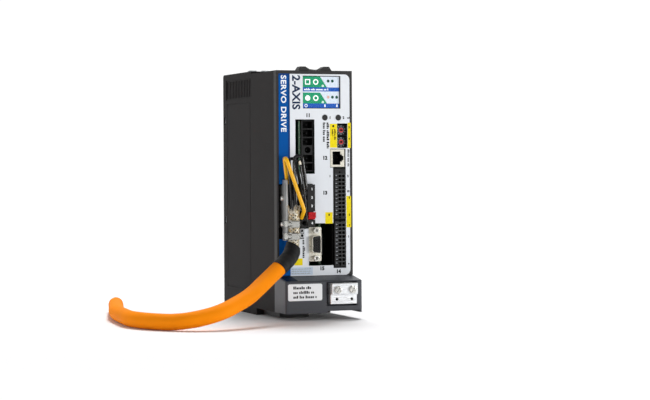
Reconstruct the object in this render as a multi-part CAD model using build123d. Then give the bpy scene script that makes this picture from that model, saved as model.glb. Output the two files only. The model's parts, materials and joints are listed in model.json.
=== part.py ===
from build123d import *
import math
import os

# Compact two-axis servo drive with its motor lead plugged in and clamped.
# Millimetres. X to the right, front face towards -Y, the wall mounting plane at Y = 0,
# Z up from the standing surface. X = 0 is the middle of the housing.

# ---- driving dimensions -------------------------------------------------------------
WIDTH = 73.0            # across the housing
DEPTH = 160.0           # mounting plane to the front face
HOOD_REACH = 22.0       # how far the lower hood stands in front of the face
REAR_TOP = 226.5        # top of the deeper rear section
FRONT_TOP = 224.3       # top of the front section
FRONT_BOTTOM = 6.3      # underside of the front section
TOP_STEP_Y = -87.0      # where the top steps down
BOTTOM_STEP_Y = -100.0  # where the underside steps up
WALL = 2.0              # housing wall
SHEET = 2.0             # back plate thickness
OVERLAY = 0.3           # printed overlay thickness
COVER_BACK_Y = -152.0   # rear edge of the front cover's rim
HOOD_TOP_BACK = 38.5    # hood height where it meets the face
HOOD_TOP_FRONT = 35.3   # hood height at its front
GAP = 0.15              # seam between neighbouring mouldings
RUN = 0.06              # radial clearance of a turning or sliding fit
CABLE_R = 7.0           # motor lead jacket radius
BRAID_R = 5.2           # shield braid radius
SLEEVE_R = 7.6          # shrink sleeve radius
IO_PITCH = 3.5          # pitch of the two-row signal plugs
POWER_PITCH = 7.62      # pitch of the power connectors
IO_ROWS = 11            # rows in each signal plug

HALF = WIDTH / 2
FACE_Y = -DEPTH
FACE_OUT_Y = FACE_Y - OVERLAY
HOOD_Y = FACE_Y - HOOD_REACH
INNER = HALF - WALL

# front openings, each as ((x low, x high), (z low, z high))
DISPLAY_WINDOW = ((-11.5, 24.8), (189.9, 219.5))
AUX_WINDOW = ((-18.9, -0.5), (130.9, 180.0))
MOTOR_WINDOW = ((-34.9, -2.4), (81.4, 121.8))
MOTOR_WINDOW_LOW = ((-34.9, -11.2), (72.3, 81.5))
ROTARY_WINDOW = ((21.4, 31.4), (154.2, 176.4))
RJ45_WINDOW = ((14.3, 29.4), (136.5, 153.4))
IO_WINDOW = ((17.2, 29.5), (45.2, 136.6))
DSUB_WINDOW = ((-6.6, 17.2), (47.8, 86.0))
BUTTONS = ((9.6, 181.7), (22.6, 181.7))
BUTTON_R = 2.6
ROTORS = ((26.4, 170.4), (26.4, 159.6))
ROTOR_R = 2.2
UPPER_PLUG_Z = (88.95, 136.3)
LOWER_PLUG_Z = (45.5, 88.75)
UPPER_FIRST_ROW = 128.6
LOWER_FIRST_ROW = 84.2
DSUB_X = -0.4
DSUB_Z = 67.1
DSUB_SCREW_PITCH = 24.99
RJ45_Z = 144.95
CLAMP_HEIGHTS = (86.3, 75.3)
BRAID_X = -24.6
BRAID_Y = -170.6
PLATE_X = (-31.7, -30.2)
PLATE_Y = (-171.5, -147.0)
PLATE_Z = (71.2, 125.7)
PLATE_SLOT_Y = (-169.9, -168.4)
RIVET_HEIGHTS = (109.0, 85.7)
RIVET_Y = -161.6
CLAMP_SCREW_Y = -180.6
CLAMP_HOUSING_X = (-30.6, -24.0)
EARTH_SCREWS_X = (11.4, 25.6)
FAN_CENTRE = (0.0, -36.0)
FAN_SIZE = 60.0
FAN_Z = (5.0, 25.0)
HEAT_SINK_Z = (32.0, 210.0)
POWER_BOARD_Y = (-86.0, -84.4)
WALL_SCREW_R = 2.7      # clearance for an M5 wall screw
TOP_SLOT_Z = 222.6      # centre of the top wall slot
BOTTOM_SLOT_Z = 8.0     # centre of the bottom wall slot
HOLE = 0.02             # cutters overshoot a face by this much, in mm


# ---- helpers --------------------------------------------------------------------------
def block(x, y, z):
    """A box given by its low and high values on each axis."""
    centre = Pos((x[0] + x[1]) / 2, (y[0] + y[1]) / 2, (z[0] + z[1]) / 2)
    return centre * Box(x[1] - x[0], y[1] - y[0], z[1] - z[0])


def rod_x(y, z, radius, x):
    return Pos((x[0] + x[1]) / 2, y, z) * Rot(0, 90, 0) * Cylinder(radius, x[1] - x[0])


def rod_y(x, z, radius, y):
    return Pos(x, (y[0] + y[1]) / 2, z) * Rot(90, 0, 0) * Cylinder(radius, y[1] - y[0])


def rod_z(x, y, radius, z):
    return Pos(x, y, (z[0] + z[1]) / 2) * Cylinder(radius, z[1] - z[0])


def hex_y(x, z, across_flats, y):
    """A hexagonal bar along Y."""
    outline = RegularPolygon(across_flats / 2, 6, major_radius=False)
    return extrude(Pos(x, y[0], z) * Rot(-90, 0, 0) * outline, y[1] - y[0])


def window(opening, y, grow=0.0):
    """A cutter for a front opening between two depths."""
    (x0, x1), (z0, z1) = opening
    return block((x0 - grow, x1 + grow), y, (z0 - grow, z1 + grow))


def side_profile(points, x):
    """A solid with the given (y, z) outline, spanning x."""
    outline = Plane.YZ * make_face(Polyline(*points, close=True))
    return Pos(x[0], 0, 0) * extrude(outline, x[1] - x[0])


def bent_line(points, radii):
    """Straight runs between the points, joined by arcs of the given radii."""
    corners = [Vector(*point) for point in points]
    edges = []
    at = corners[0]
    for before, corner, after, radius in zip(corners, corners[1:], corners[2:], radii):
        into = (corner - before).normalized()
        out = (after - corner).normalized()
        half = math.radians(into.get_angle(out)) / 2
        start = corner - into * radius * math.tan(half)
        end = corner + out * radius * math.tan(half)
        middle = corner + (out - into).normalized() * (radius / math.cos(half) - radius)
        edges.append(Line(at, start).edge())
        edges.append(ThreePointArc(start, middle, end).edge())
        at = end
    edges.append(Line(at, corners[-1]).edge())
    return Wire(edges)


def rod_along(path, radius):
    """A round rod that follows a path."""
    return sweep(Plane(origin=path @ 0, z_dir=path % 0) * Circle(radius), path=path)


def all_of(shapes):
    """Separate solids kept together as one node."""
    return Compound(children=[solid for shape in shapes for solid in shape.solids()])


def open_backed_box(x, y, z, wall):
    """A thin-walled box with no rear wall."""
    cavity = block((x[0] + wall, x[1] - wall), (y[0] + wall, y[1] + HOLE), (z[0] + wall, z[1] - wall))
    return block(x, y, z) - cavity


# ---- housing --------------------------------------------------------------------------
VENT_Y = (-86.5, -9.0)
VENT_Z = (201.6, 220.9)
VENT_SLOTS = 16
VENT_RECESS = 0.8
VENT_BORDER = 1.5
VENT_GAP = 2.2
SNAP_HEIGHTS = (181.8, 86.3)


def housing_outline(inset):
    """Side outline of the housing body, open to the front and the back when inset."""
    front = COVER_BACK_Y + GAP if inset == 0 else COVER_BACK_Y - HOLE
    back = 0.0 if inset == 0 else HOLE
    return (
        (front, FRONT_BOTTOM + inset),
        (BOTTOM_STEP_Y + inset, FRONT_BOTTOM + inset),
        (BOTTOM_STEP_Y + inset, inset),
        (back, inset),
        (back, REAR_TOP - inset),
        (TOP_STEP_Y + inset, REAR_TOP - inset),
        (TOP_STEP_Y + inset, FRONT_TOP - inset),
        (front, FRONT_TOP - inset),
    )


def vent_slots(side):
    """Upright louvre slots through one side wall, in a shallow recess."""
    recess = sorted((side * (HALF + HOLE), side * (HALF - VENT_RECESS)))
    through = sorted((side * (HALF + 1), side * (INNER - 1)))
    slot_z = (VENT_Z[0] + VENT_BORDER, VENT_Z[1] - VENT_BORDER)
    pitch = (VENT_Y[1] - VENT_Y[0]) / VENT_SLOTS
    cut = block(recess, VENT_Y, VENT_Z)
    for index in range(VENT_SLOTS):
        y = VENT_Y[0] + (index + 0.5) * pitch
        cut += block(through, (y - VENT_GAP / 2, y + VENT_GAP / 2), slot_z)
    return cut


def top_slots(side):
    """Outlet slots in the top wall, over the cooling duct."""
    x = (side * 17.0 - 12.0, side * 17.0 + 12.0)
    z = (REAR_TOP - WALL - 1, REAR_TOP + 1)
    return Compound(children=[block(x, (y, y + 3.5), z) for y in range(-78, -21, 8)])


def side_groove(side):
    """Shallow rectangular outline moulded in the side wall."""
    depth = 0.4
    x = (HALF - depth, HALF + HOLE) if side > 0 else (-HALF - HOLE, -HALF + depth)
    outer = block(x, (-84.0, -12.0), (22.0, 198.0))
    inner = block((x[0] - 1, x[1] + 1), (-83.0, -13.0), (23.0, 197.0))
    return outer - inner


def shell(side):
    """One half of the clamshell: side wall with half of the top and bottom walls."""
    x_outer = (0.05, HALF) if side > 0 else (-HALF, -0.05)
    x_inner = (-1.0, INNER) if side > 0 else (-INNER, 1.0)
    body = side_profile(housing_outline(0), x_outer)
    top_rear = body.edges().filter_by(Axis.X).group_by(Axis.Y)[-1].group_by(Axis.Z)[-1]
    body = fillet(top_rear, 3.0)
    body -= side_profile(housing_outline(WALL), x_inner)
    body -= vent_slots(side)
    body -= top_slots(side)
    body -= side_groove(side)
    # room for the back plate between the side walls, and for the wall screw heads
    body -= block((-INNER, INNER), (-SHEET - GAP, 1), (-1, REAR_TOP + 1))
    body -= block((-6.5, 6.5), (-10, 1), (TOP_SLOT_Z - 6.5, REAR_TOP + 1))
    body -= block((-6.5, 6.5), (-10, 1), (-1, WALL + 1))
    # windows for the back plate's snap tabs
    for height in SNAP_HEIGHTS:
        body -= block((side * HALF - 3, side * HALF + 3), (-8.0, -3.0), (height - 3.5, height + 3.5))
    # air inlet under the fan
    body -= rod_z(FAN_CENTRE[0], FAN_CENTRE[1], 28.0, (-1, WALL + 1))
    # opening for the supply plug under the front section
    body -= block((-31.6, -2.6), (-150.2, -103.6), (FRONT_BOTTOM - 1, FRONT_BOTTOM + WALL + 1))
    return body


def left_shell():
    return shell(-1)


def right_shell():
    return shell(1)


def wall_slot(z_centre, z_end):
    """Open-ended slot for a wall screw."""
    z = (min(z_centre, z_end), max(z_centre, z_end))
    return rod_y(0, z_centre, WALL_SCREW_R, (-20, 20)) + block((-WALL_SCREW_R, WALL_SCREW_R), (-20, 20), z)


def back_plate():
    """Galvanised sheet back with side flanges, snap tabs and two wall slots."""
    edge = INNER - 0.15
    plate = block((-edge, edge), (-SHEET, 0), (0, REAR_TOP - 0.5))
    plate += block((-11.5, 11.5), (-SHEET, 0), (REAR_TOP - 1, 231.6))
    plate = fillet(plate.edges().filter_by(Axis.Y).group_by(Axis.Z)[-1], 2.0)
    for side in (-1, 1):
        x = (side * edge, side * (edge - 1.5))
        plate += block((min(x), max(x)), (-14.0, 0), (12.0, 214.0))
        for height in SNAP_HEIGHTS:
            tab = (side * (edge - 0.5), side * (edge + 1.2))
            plate += block((min(tab), max(tab)), (-7.6, -3.4), (height - 3.0, height + 3.0))
    plate -= wall_slot(TOP_SLOT_Z, 240.0)
    plate -= wall_slot(BOTTOM_SLOT_Z, -10.0)
    for x, z in SINK_SCREWS:
        plate -= rod_y(x, z, 1.7, (-5, 5))
        plate -= rod_y(x, z, 2.9, (-1.7, 1))
    return plate


def front_cover():
    """Front moulding with a thin rim and all the front openings."""
    z = (HOOD_TOP_BACK + GAP, FRONT_TOP)
    cover = block((-HALF, HALF), (FACE_Y, COVER_BACK_Y), z)
    corner = cover.edges().filter_by(Axis.Z).group_by(Axis.Y)[0]
    cover = chamfer(corner, 0.9)
    cover = fillet(cover.edges().filter_by(Axis.X).group_by(Axis.Y)[0].group_by(Axis.Z)[-1], 0.6)
    inner_z = (z[0] - 1, z[1] - WALL)
    cover -= block((-INNER, INNER), (FACE_Y + 2.6, COVER_BACK_Y + 1), inner_z)
    reach = (FACE_Y - 1, FACE_Y + 4)
    for opening in (DISPLAY_WINDOW, AUX_WINDOW, MOTOR_WINDOW, MOTOR_WINDOW_LOW, ROTARY_WINDOW):
        cover -= window(opening, reach)
    for opening in (RJ45_WINDOW, IO_WINDOW, DSUB_WINDOW):
        cover -= window(opening, reach)
    for x, height in BUTTONS:
        cover -= rod_y(x, height, BUTTON_R + RUN, reach)
    for x in (-9.0, 9.0):
        cover -= block((x - 2.2, x + 2.2), (FACE_Y + 3, FACE_Y + 7), (FRONT_TOP - WALL - 1, FRONT_TOP + 1))
    return cover


def lower_hood():
    """Hood over the lower front with a sloped top and the earth terminal pocket."""
    rear = COVER_BACK_Y
    outline = (
        (HOOD_Y, FRONT_BOTTOM),
        (rear, FRONT_BOTTOM),
        (rear, HOOD_TOP_BACK),
        (FACE_Y, HOOD_TOP_BACK),
        (HOOD_Y, HOOD_TOP_FRONT),
    )
    hood = side_profile(outline, (-HALF, HALF))
    front_edges = hood.edges().filter_by(Axis.Z).group_by(Axis.Y)[0]
    hood = fillet(front_edges, 1.6)
    hood = fillet(hood.edges().filter_by(Axis.X).group_by(Axis.Y)[0].group_by(Axis.Z)[-1], 1.2)
    hood -= block((-INNER, INNER), (HOOD_Y + 9.0, rear + 1), (FRONT_BOTTOM - 1, HOOD_TOP_FRONT - WALL - 1))
    hood -= block((3.0, INNER), (HOOD_Y - 1, HOOD_Y + 12), (FRONT_BOTTOM - 1, FRONT_BOTTOM + 1.8))
    hood -= block((2.2, 31.6), (HOOD_Y - 1, HOOD_Y + 7.0), (12.6, 34.2))
    hood -= block((-31.6, -2.6), (-152.4, rear + 1), (FRONT_BOTTOM - 1, FRONT_BOTTOM + 4))
    return hood


def top_guide():
    """Snap-in saddle with two flat-topped horns on the front top edge."""
    base = FRONT_TOP
    horn_height = 3.6
    outline = (
        (-15.6, base + 0.02),
        (-13.2, base + horn_height),
        (-8.4, base + horn_height),
        (-4.6, base + 1.3),
        (0.6, base + 0.7),
        (5.8, base + 1.3),
        (9.6, base + horn_height),
        (14.4, base + horn_height),
        (16.8, base + 0.02),
    )
    face = Plane.XZ * make_face(Polyline(*outline, close=True))
    saddle = Pos(0, FACE_Y + 10.0, 0) * extrude(face, 9.0)
    for x in (-9.0, 9.0):
        saddle += block((x - 2.0, x + 2.0), (FACE_Y + 3.2, FACE_Y + 6.8), (base - 3.2, base + 0.5))
    return saddle


# ---- overlays, label and display --------------------------------------------------------
def white_overlay():
    x = (-24.0, 33.6)
    z = (HOOD_TOP_BACK + 0.3, 221.0)
    sheet = block(x, (FACE_OUT_Y, FACE_Y), z)
    right = sheet.edges().filter_by(Axis.Y).group_by(Axis.X)[-1]
    sheet = fillet(right, 5.0)
    reach = (FACE_Y - 1, FACE_Y + 1)
    for opening in (DISPLAY_WINDOW, AUX_WINDOW, MOTOR_WINDOW, MOTOR_WINDOW_LOW, ROTARY_WINDOW):
        sheet -= window(opening, reach)
    for opening in (RJ45_WINDOW, IO_WINDOW, DSUB_WINDOW):
        sheet -= window(opening, reach)
    for x_button, height in BUTTONS:
        sheet -= rod_y(x_button, height, BUTTON_R + 0.1, reach)
    return sheet


def blue_overlay():
    """Blue strip above and below the motor connector, with a flap down the hood's slope."""
    upper = block((-34.6, -24.15), (FACE_OUT_Y, FACE_Y), (MOTOR_WINDOW[1][1], 221.2))
    lower = block((-34.6, -24.15), (FACE_OUT_Y, FACE_Y), (HOOD_TOP_BACK + 0.3, MOTOR_WINDOW_LOW[1][0]))
    slope = math.degrees(math.atan2(HOOD_TOP_BACK - HOOD_TOP_FRONT, HOOD_REACH))
    flap = Pos(-29.4, -171.0, (HOOD_TOP_BACK + HOOD_TOP_FRONT) / 2 + OVERLAY / 2 + 0.02)
    flap = flap * Rot(slope, 0, 0) * Box(10.4, 18.0, OVERLAY)
    return all_of((upper, lower, flap))


def type_label():
    sheet = block((-34.3, -2.0), (HOOD_Y - OVERLAY, HOOD_Y), (17.9, 32.9))
    return fillet(sheet.edges().filter_by(Axis.Y), 1.6)


def display_lens():
    """Clear window seated in the display opening."""
    (x0, x1), (z0, z1) = DISPLAY_WINDOW
    return block((x0 + 0.1, x1 - 0.1), (FACE_Y - 0.1, FACE_Y + 1.2), (z0 + 0.1, z1 - 0.1))


def display_module():
    (x0, x1), (z0, z1) = DISPLAY_WINDOW
    return block((x0 - 1.5, x1 + 1.5), (FACE_Y + 2.7, FACE_Y + 6.7), (z0 - 1.0, z1 + 1.0))


def display_board():
    y = (FACE_Y + 10.4, FACE_Y + 12.0)
    return block((-14.5, 29.0), y, (183.0, 221.5)) + block((3.0, 29.0), y, (176.5, 184.0))


def tact_switches():
    bodies = []
    for x, z in BUTTONS:
        body = block((x - 3.0, x + 3.0), (FACE_Y + 7.0, FACE_Y + 10.4), (z - 3.0, z + 3.0))
        body += rod_y(x, z, 1.6, (FACE_Y + 4.6, FACE_Y + 7.2))
        bodies.append(body)
    return all_of(bodies)


def button(index):
    """Push-button cap with a retaining flange behind the cover."""
    x, z = BUTTONS[index]
    cap = rod_y(x, z, BUTTON_R, (FACE_OUT_Y - 0.5, FACE_Y + 4.0))
    cap = fillet(cap.edges().group_by(Axis.Y)[0], 0.4)
    return cap + rod_y(x, z, BUTTON_R + 0.9, (FACE_Y + 2.8, FACE_Y + 3.8))


# ---- boards, cooling and power parts ----------------------------------------------------
def control_board():
    return block((-14.8, -13.2), (-157.2, -88.0), (128.0, 178.6))


def io_board():
    return block((31.6, 33.2), (-157.0, -88.0), (44.0, 186.0))


def encoder_board():
    return block((7.0, 8.6), (-149.4, -112.0), (48.6, 85.4))


SINK_SCREWS = ((-31.0, 48.0), (31.0, 48.0), (-31.0, 196.0), (31.0, 196.0))
BOARD_SCREWS = ((-30.0, 40.0), (30.0, 40.0), (-30.0, 205.0), (30.0, 205.0))
MODULE_Z = (84.0, 150.0)


def power_board():
    board = block((-33.6, 33.6), POWER_BOARD_Y, (14.0, 214.0))
    for x, z in BOARD_SCREWS:
        board -= rod_y(x, z, 1.6, (-90, -80))
    return board


def board_posts():
    """Hexagonal posts that carry the power board in front of the heat sink."""
    y = (POWER_BOARD_Y[1], -70.0)
    return all_of(hex_y(x, z, 5.0, y) for x, z in BOARD_SCREWS)


def heat_sink():
    """Extruded sink: base plate towards the front, fins into the duct."""
    sink = block((-33.0, 33.0), (-70.0, -63.0), HEAT_SINK_Z)
    for index in range(10):
        x = -24.3 + index * 5.4
        sink += block((x - 0.75, x + 0.75), (-64.0, -10.0), HEAT_SINK_Z)
    for x in ((-33.0, -29.0), (29.0, 33.0)):
        sink += block(x, (-64.0, -14.2), HEAT_SINK_Z)
    for x in ((-32.6, -29.0), (29.0, 32.6)):
        sink += block(x, (-15.0, -SHEET), HEAT_SINK_Z)
    for x, z in SINK_SCREWS:
        sink -= rod_y(x, z, 1.4, (-14, 0))
    return sink


def heat_sink_screws():
    screws = []
    for x, z in SINK_SCREWS:
        screw = rod_y(x, z, 1.38, (-11.5, 0))
        screw += rod_y(x, z, 2.7, (0, 1.6))
        screw -= block((x - 0.4, x + 0.4), (0.9, 2), (z - 2.2, z + 2.2))
        screws.append(Pos(0, -1.62, 0) * screw)
    return all_of(screws)


def power_module():
    module = block((-26.0, 26.0), (-78.0, -70.0), MODULE_Z)
    for x in (-22.0, -13.0, -4.0, 5.0, 14.0, 22.0):
        for z in (MODULE_Z[0] + 4, MODULE_Z[1] - 4):
            module += block((x - 0.5, x + 0.5), (POWER_BOARD_Y[1], -77.0), (z - 0.5, z + 0.5))
    return module


def dc_capacitors():
    cans = []
    for z in (145.0, 166.0, 187.0, 208.0):
        can = rod_y(-25.2, z - 1, 9.0, (-126.0, POWER_BOARD_Y[0]))
        cans.append(fillet(can.edges().group_by(Axis.Y)[0], 1.0))
    return all_of(cans)


def fan_frame():
    """Square fan frame with a round duct, a hub on four struts and a shaft boss."""
    cx, cy = FAN_CENTRE
    half = FAN_SIZE / 2
    frame = block((cx - half, cx + half), (cy - half + 2, cy + half - 2), FAN_Z)
    frame -= rod_z(cx, cy, 26.5, (FAN_Z[0] - 1, FAN_Z[1] + 1))
    hub = rod_z(cx, cy, 12.0, (FAN_Z[0], FAN_Z[0] + 3.0))
    struts = block((cx - 27.0, cx + 27.0), (cy - 1.2, cy + 1.2), (FAN_Z[0], FAN_Z[0] + 3.0))
    struts += block((cx - 1.2, cx + 1.2), (cy - 27.0, cy + 27.0), (FAN_Z[0], FAN_Z[0] + 3.0))
    hub += struts
    hub += rod_z(cx, cy, 1.5, (FAN_Z[0], FAN_Z[1] - 3.0))
    frame += hub
    for x in (cx - 25.0, cx + 25.0):
        for y in (cy - 23.5, cy + 23.5):
            frame -= rod_z(x, y, 1.6, (FAN_Z[0] - 1, FAN_Z[1] + 1))
    return frame


def fan_impeller():
    """Seven-blade rotor that turns on the frame's shaft."""
    cx, cy = FAN_CENTRE
    low, high = FAN_Z[0] + 4.0, FAN_Z[1] - 1.0
    rotor = rod_z(cx, cy, 12.0, (low, high))
    for index in range(7):
        blade = Pos(18.2, 0, (low + high) / 2) * Rot(35, 0, 0) * Box(13.8, 1.3, 14.0)
        rotor += Pos(cx, cy, 0) * Rot(0, 0, index * 360 / 7) * blade
    rotor -= rod_z(cx, cy, 1.5 + RUN, (low - 1, FAN_Z[1] - 2.8))
    return rotor


def fan_guard():
    """Wire-like finger guard in the inlet, held under the fan."""
    cx, cy = FAN_CENTRE
    guard = Part()
    for radius in (6.5, 13.0, 19.5, 26.0):
        ring = rod_z(cx, cy, radius + 0.7, (3.2, 4.8)) - rod_z(cx, cy, radius - 0.7, (3.0, 5.0))
        guard += ring
    for angle in (45, 135):
        guard += Pos(cx, cy, 4.0) * Rot(0, 0, angle) * Box(67.0, 1.6, 1.6)
    for x in (cx - 25.0, cx + 25.0):
        for y in (cy - 23.5, cy + 23.5):
            guard += rod_z(x, y, 3.0, (3.2, 4.8))
            guard -= rod_z(x, y, 1.6, (3, 5))
    return guard


def fan_screws():
    cx, cy = FAN_CENTRE
    screws = []
    for x in (cx - 25.0, cx + 25.0):
        for y in (cy - 23.5, cy + 23.5):
            screws.append(rod_z(x, y, 1.5, (2.0, FAN_Z[1] - 2)) + rod_z(x, y, 2.8, (2.05, 3.2)))
    return all_of(screws)


# ---- front connectors -------------------------------------------------------------------
def aux_header():
    """Six-pole header with one pin in each cell; the fourth cell is the round latch cell."""
    x = (-12.6, -1.0)
    body = block(x, (-158.6, -142.0), (133.0, 179.3))
    for index in range(6):
        z = 175.2 - index * POWER_PITCH
        if index == 3:
            cell = rod_y(-6.6, z, 2.9, (-160, -147))
        else:
            cell = block((-11.4, -2.0), (-160, -147), (z - 3.2, z + 3.2))
        body -= cell
        body += block((-7.3, -6.3), (-156.0, -146.0), (z - 0.5, z + 0.5))
    return body


def motor_header():
    """Header at the bottom of the motor connector pocket, with pins to the power board."""
    body = block((-34.2, -2.8), (-145.6, -128.0), (82.0, 121.4))
    body += block((-34.2, -11.6), (-145.6, -128.0), (72.8, 82.5))
    for index in range(5):
        z = 117.2 - index * POWER_PITCH
        body += block((-8.1, -6.9), (-129.0, POWER_BOARD_Y[0]), (z - 0.6, z + 0.6))
    return body


LATCH_PIVOT = (-167.0, 91.4)
LATCH_X = (-10.1, -3.2)


def motor_plug():
    """Plug of the motor lead: raised terminal column, low shelf for the clamped cable."""
    column = block((-17.0, -2.9), (-168.0, -146.0), (82.7, 121.2))
    column = chamfer(column.edges().filter_by(Axis.Z).group_by(Axis.Y)[0], 0.5)
    shelf = block((-30.1, -16.5), (-163.9, -146.0), (82.0, 121.2))
    foot = block((-30.1, -11.7), (-161.6, -146.0), (72.7, 82.4))
    plug = column + shelf + foot
    for index in range(5):
        z = 117.2 - index * POWER_PITCH
        plug -= rod_y(-13.2, z, 1.75, (-169, -158.0))
        plug -= rod_y(-13.2, z, 2.6, (-169, -166.4))
        if index != 3:
            plug -= block((-11.0, -10.2), (-169, -167.4), (z - 3.4, z + 3.4))
    for z in (75.2, 79.6):
        plug -= rod_y(-13.3, z, 1.1, (-163, -157))
    for z in RIVET_HEIGHTS:
        plug -= rod_x(RIVET_Y, z, 1.3, (-31, -27))
    # latch pocket with a round seat for the lever's barrel and two pins
    y, z = LATCH_PIVOT
    plug -= block((LATCH_X[0] - 0.2, -2), (-169, -163.4), (z - 1.9, z + 5.6))
    plug += rod_x(y, z, 0.7, (LATCH_X[0] - 0.4, LATCH_X[0] + 1.6))
    return plug


def motor_plug_latch():
    """Release lever with a barrel that turns on the plug's pin."""
    y, z = LATCH_PIVOT
    lever = block(LATCH_X, (-170.6, -165.6), (z, z + 5.0))
    lever += rod_x(y, z, 1.6, LATCH_X)
    lever = lever - rod_x(y, z, 0.7 + RUN, (LATCH_X[0] - 1, LATCH_X[0] + 2.0))
    lever -= block((LATCH_X[0] - 1, LATCH_X[1] + 1), (-171.5, -170.0), (z + 1.4, z + 2.0))
    lever -= block((LATCH_X[0] - 1, LATCH_X[1] + 1), (-171.5, -170.0), (z + 2.9, z + 3.5))
    return lever


def io_header(z):
    """Shroud behind one signal plug, soldered to the I/O board."""
    outer = ((17.3, 31.6), (-157.0, -140.0), z)
    shroud = block(*outer)
    shroud -= block((17.9, 29.3), (-158, -143.0), (z[0] + 0.4, z[1] - 0.4))
    for index in range(IO_ROWS):
        row = io_row(z, index)
        for x in (21.6, 25.6):
            shroud += block((x - 0.4, x + 0.4), (-149.0, -142.0), (row - 0.4, row + 0.4))
    return shroud


def io_row(z, index):
    first = UPPER_FIRST_ROW if z == UPPER_PLUG_Z else LOWER_FIRST_ROW
    return first - index * IO_PITCH


def io_plug(z):
    """Two-row spring terminal plug: release tab and two wire entries in each row."""
    plug = block((18.1, 29.1), (FACE_Y - 0.9, -144.0), (z[0] + 0.6, z[1] - 0.6))
    plug = chamfer(plug.edges().group_by(Axis.Y)[0], 0.4)
    for index in range(IO_ROWS):
        row = io_row(z, index)
        plug -= block((19.2, 21.4), (FACE_Y - 2, FACE_Y + 1.6), (row - 1.1, row + 1.1))
        plug += block((19.5, 21.1), (FACE_Y - 0.6, FACE_Y + 2), (row - 0.8, row + 0.8))
        for x in (23.4, 26.9):
            plug -= rod_y(x, row, 1.25, (FACE_Y - 2, FACE_Y + 3.0))
        for x in (21.6, 25.6):
            plug -= block((x - 0.6, x + 0.6), (-150.0, -143.0), (row - 0.6, row + 0.6))
    for end in (io_row(z, -1), z[0] + 2.2):
        plug -= rod_y(23.4, end, 0.9, (FACE_Y - 2, FACE_Y + 1.2))
    return plug


def io_header_upper():
    return io_header(UPPER_PLUG_Z)


def io_header_lower():
    return io_header(LOWER_PLUG_Z)


def io_plug_upper():
    return io_plug(UPPER_PLUG_Z)


def io_plug_lower():
    return io_plug(LOWER_PLUG_Z)


RJ45_X = (14.7, 28.3)
RJ45_Y = (FACE_Y - 0.1, FACE_Y + 21.0)


def rj45_opening(y):
    """Plug opening turned on its side, with the latch step towards +X."""
    cut = block((16.9, 24.4), y, (RJ45_Z - 6.0, RJ45_Z + 6.0))
    cut += block((24.0, 26.0), y, (RJ45_Z - 3.2, RJ45_Z + 3.2))
    return cut + block((25.8, 27.4), y, (RJ45_Z - 2.0, RJ45_Z + 2.0))


def rj45_shell():
    z = (RJ45_Z - 7.95, RJ45_Z + 7.95)
    return open_backed_box(RJ45_X, RJ45_Y, z, 0.4) - rj45_opening((RJ45_Y[0] - 1, RJ45_Y[0] + 1))


def rj45_insert():
    z = (RJ45_Z - 7.5, RJ45_Z + 7.5)
    body = block((RJ45_X[0] + 0.45, RJ45_X[1] - 0.45), (RJ45_Y[0] + 0.45, RJ45_Y[1]), z)
    return body - rj45_opening((RJ45_Y[0] - 1, RJ45_Y[0] + 14.0))


def rj45_contacts():
    """Eight sprung contacts on the side away from the latch."""
    contacts = []
    for index in range(8):
        z = RJ45_Z + (index - 3.5) * 1.02
        contacts.append(block((16.95, 17.6), (RJ45_Y[0] + 2.5, RJ45_Y[0] + 13.9), (z - 0.2, z + 0.2)))
    return all_of(contacts)


def dsub_face(width, height, corner):
    """D outline in the front plane, with its longer side to the right."""
    half = height / 2
    slant = 1.2
    points = (
        (DSUB_X + width / 2, DSUB_Z + half),
        (DSUB_X + width / 2, DSUB_Z - half),
        (DSUB_X - width / 2, DSUB_Z - half + slant),
        (DSUB_X - width / 2, DSUB_Z + half - slant),
    )
    face = make_face(Polyline(*points, close=True))
    return Plane.XZ * fillet(face.vertices(), corner)


def dsub_solid(width, height, corner, y):
    return Pos(0, y[1], 0) * extrude(dsub_face(width, height, corner), y[1] - y[0])


DSUB_FLANGE_Y = (FACE_Y + 0.2, FACE_Y + 1.0)
DSUB_RIM_Y = FACE_Y - 4.6


def dsub_shell():
    """Pressed flange with the D collar and two screw holes."""
    flange = block((DSUB_X - 6.1, DSUB_X + 6.1), DSUB_FLANGE_Y, (DSUB_Z - 15.4, DSUB_Z + 15.4))
    flange = fillet(flange.edges().filter_by(Axis.Y), 1.2)
    collar = dsub_solid(8.3, 16.9, 1.9, (DSUB_RIM_Y, DSUB_FLANGE_Y[1]))
    body = flange + collar
    body -= dsub_solid(7.5, 16.1, 1.5, (DSUB_RIM_Y - 1, DSUB_FLANGE_Y[1] + 1))
    for side in (-1, 1):
        body -= rod_y(DSUB_X, DSUB_Z + side * DSUB_SCREW_PITCH / 2, 1.6, (-165, -155))
    return body


def dsub_insert():
    """Moulded insert with fifteen sockets in three rows."""
    insert = dsub_solid(7.4, 16.0, 1.45, (DSUB_RIM_Y + 0.6, DSUB_FLANGE_Y[1] + 0.1))
    body_y = (DSUB_FLANGE_Y[1] + 0.05, FACE_Y + 12.0)
    insert += block((DSUB_X - 5.4, 7.0), body_y, (DSUB_Z - 9.6, DSUB_Z + 9.6))
    for row, shift in ((-1, 0.0), (0, 1.145), (1, 0.0)):
        for index in range(5):
            z = DSUB_Z + (index - 2) * 2.29 - shift
            insert -= rod_y(DSUB_X + row * 1.98, z, 0.55, (DSUB_RIM_Y - 1, DSUB_RIM_Y + 5.0))
    return insert


def dsub_jackscrews():
    screws = []
    for side in (-1, 1):
        z = DSUB_Z + side * DSUB_SCREW_PITCH / 2
        screw = hex_y(DSUB_X, z, 4.7, (FACE_Y - 4.4, DSUB_FLANGE_Y[0]))
        screw += rod_y(DSUB_X, z, 1.55, (DSUB_FLANGE_Y[0] - 1, FACE_Y + 8.0))
        screw -= rod_y(DSUB_X, z, 1.25, (FACE_Y - 6.0, FACE_Y + 1.5))
        screws.append(screw)
    return all_of(screws)


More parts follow.
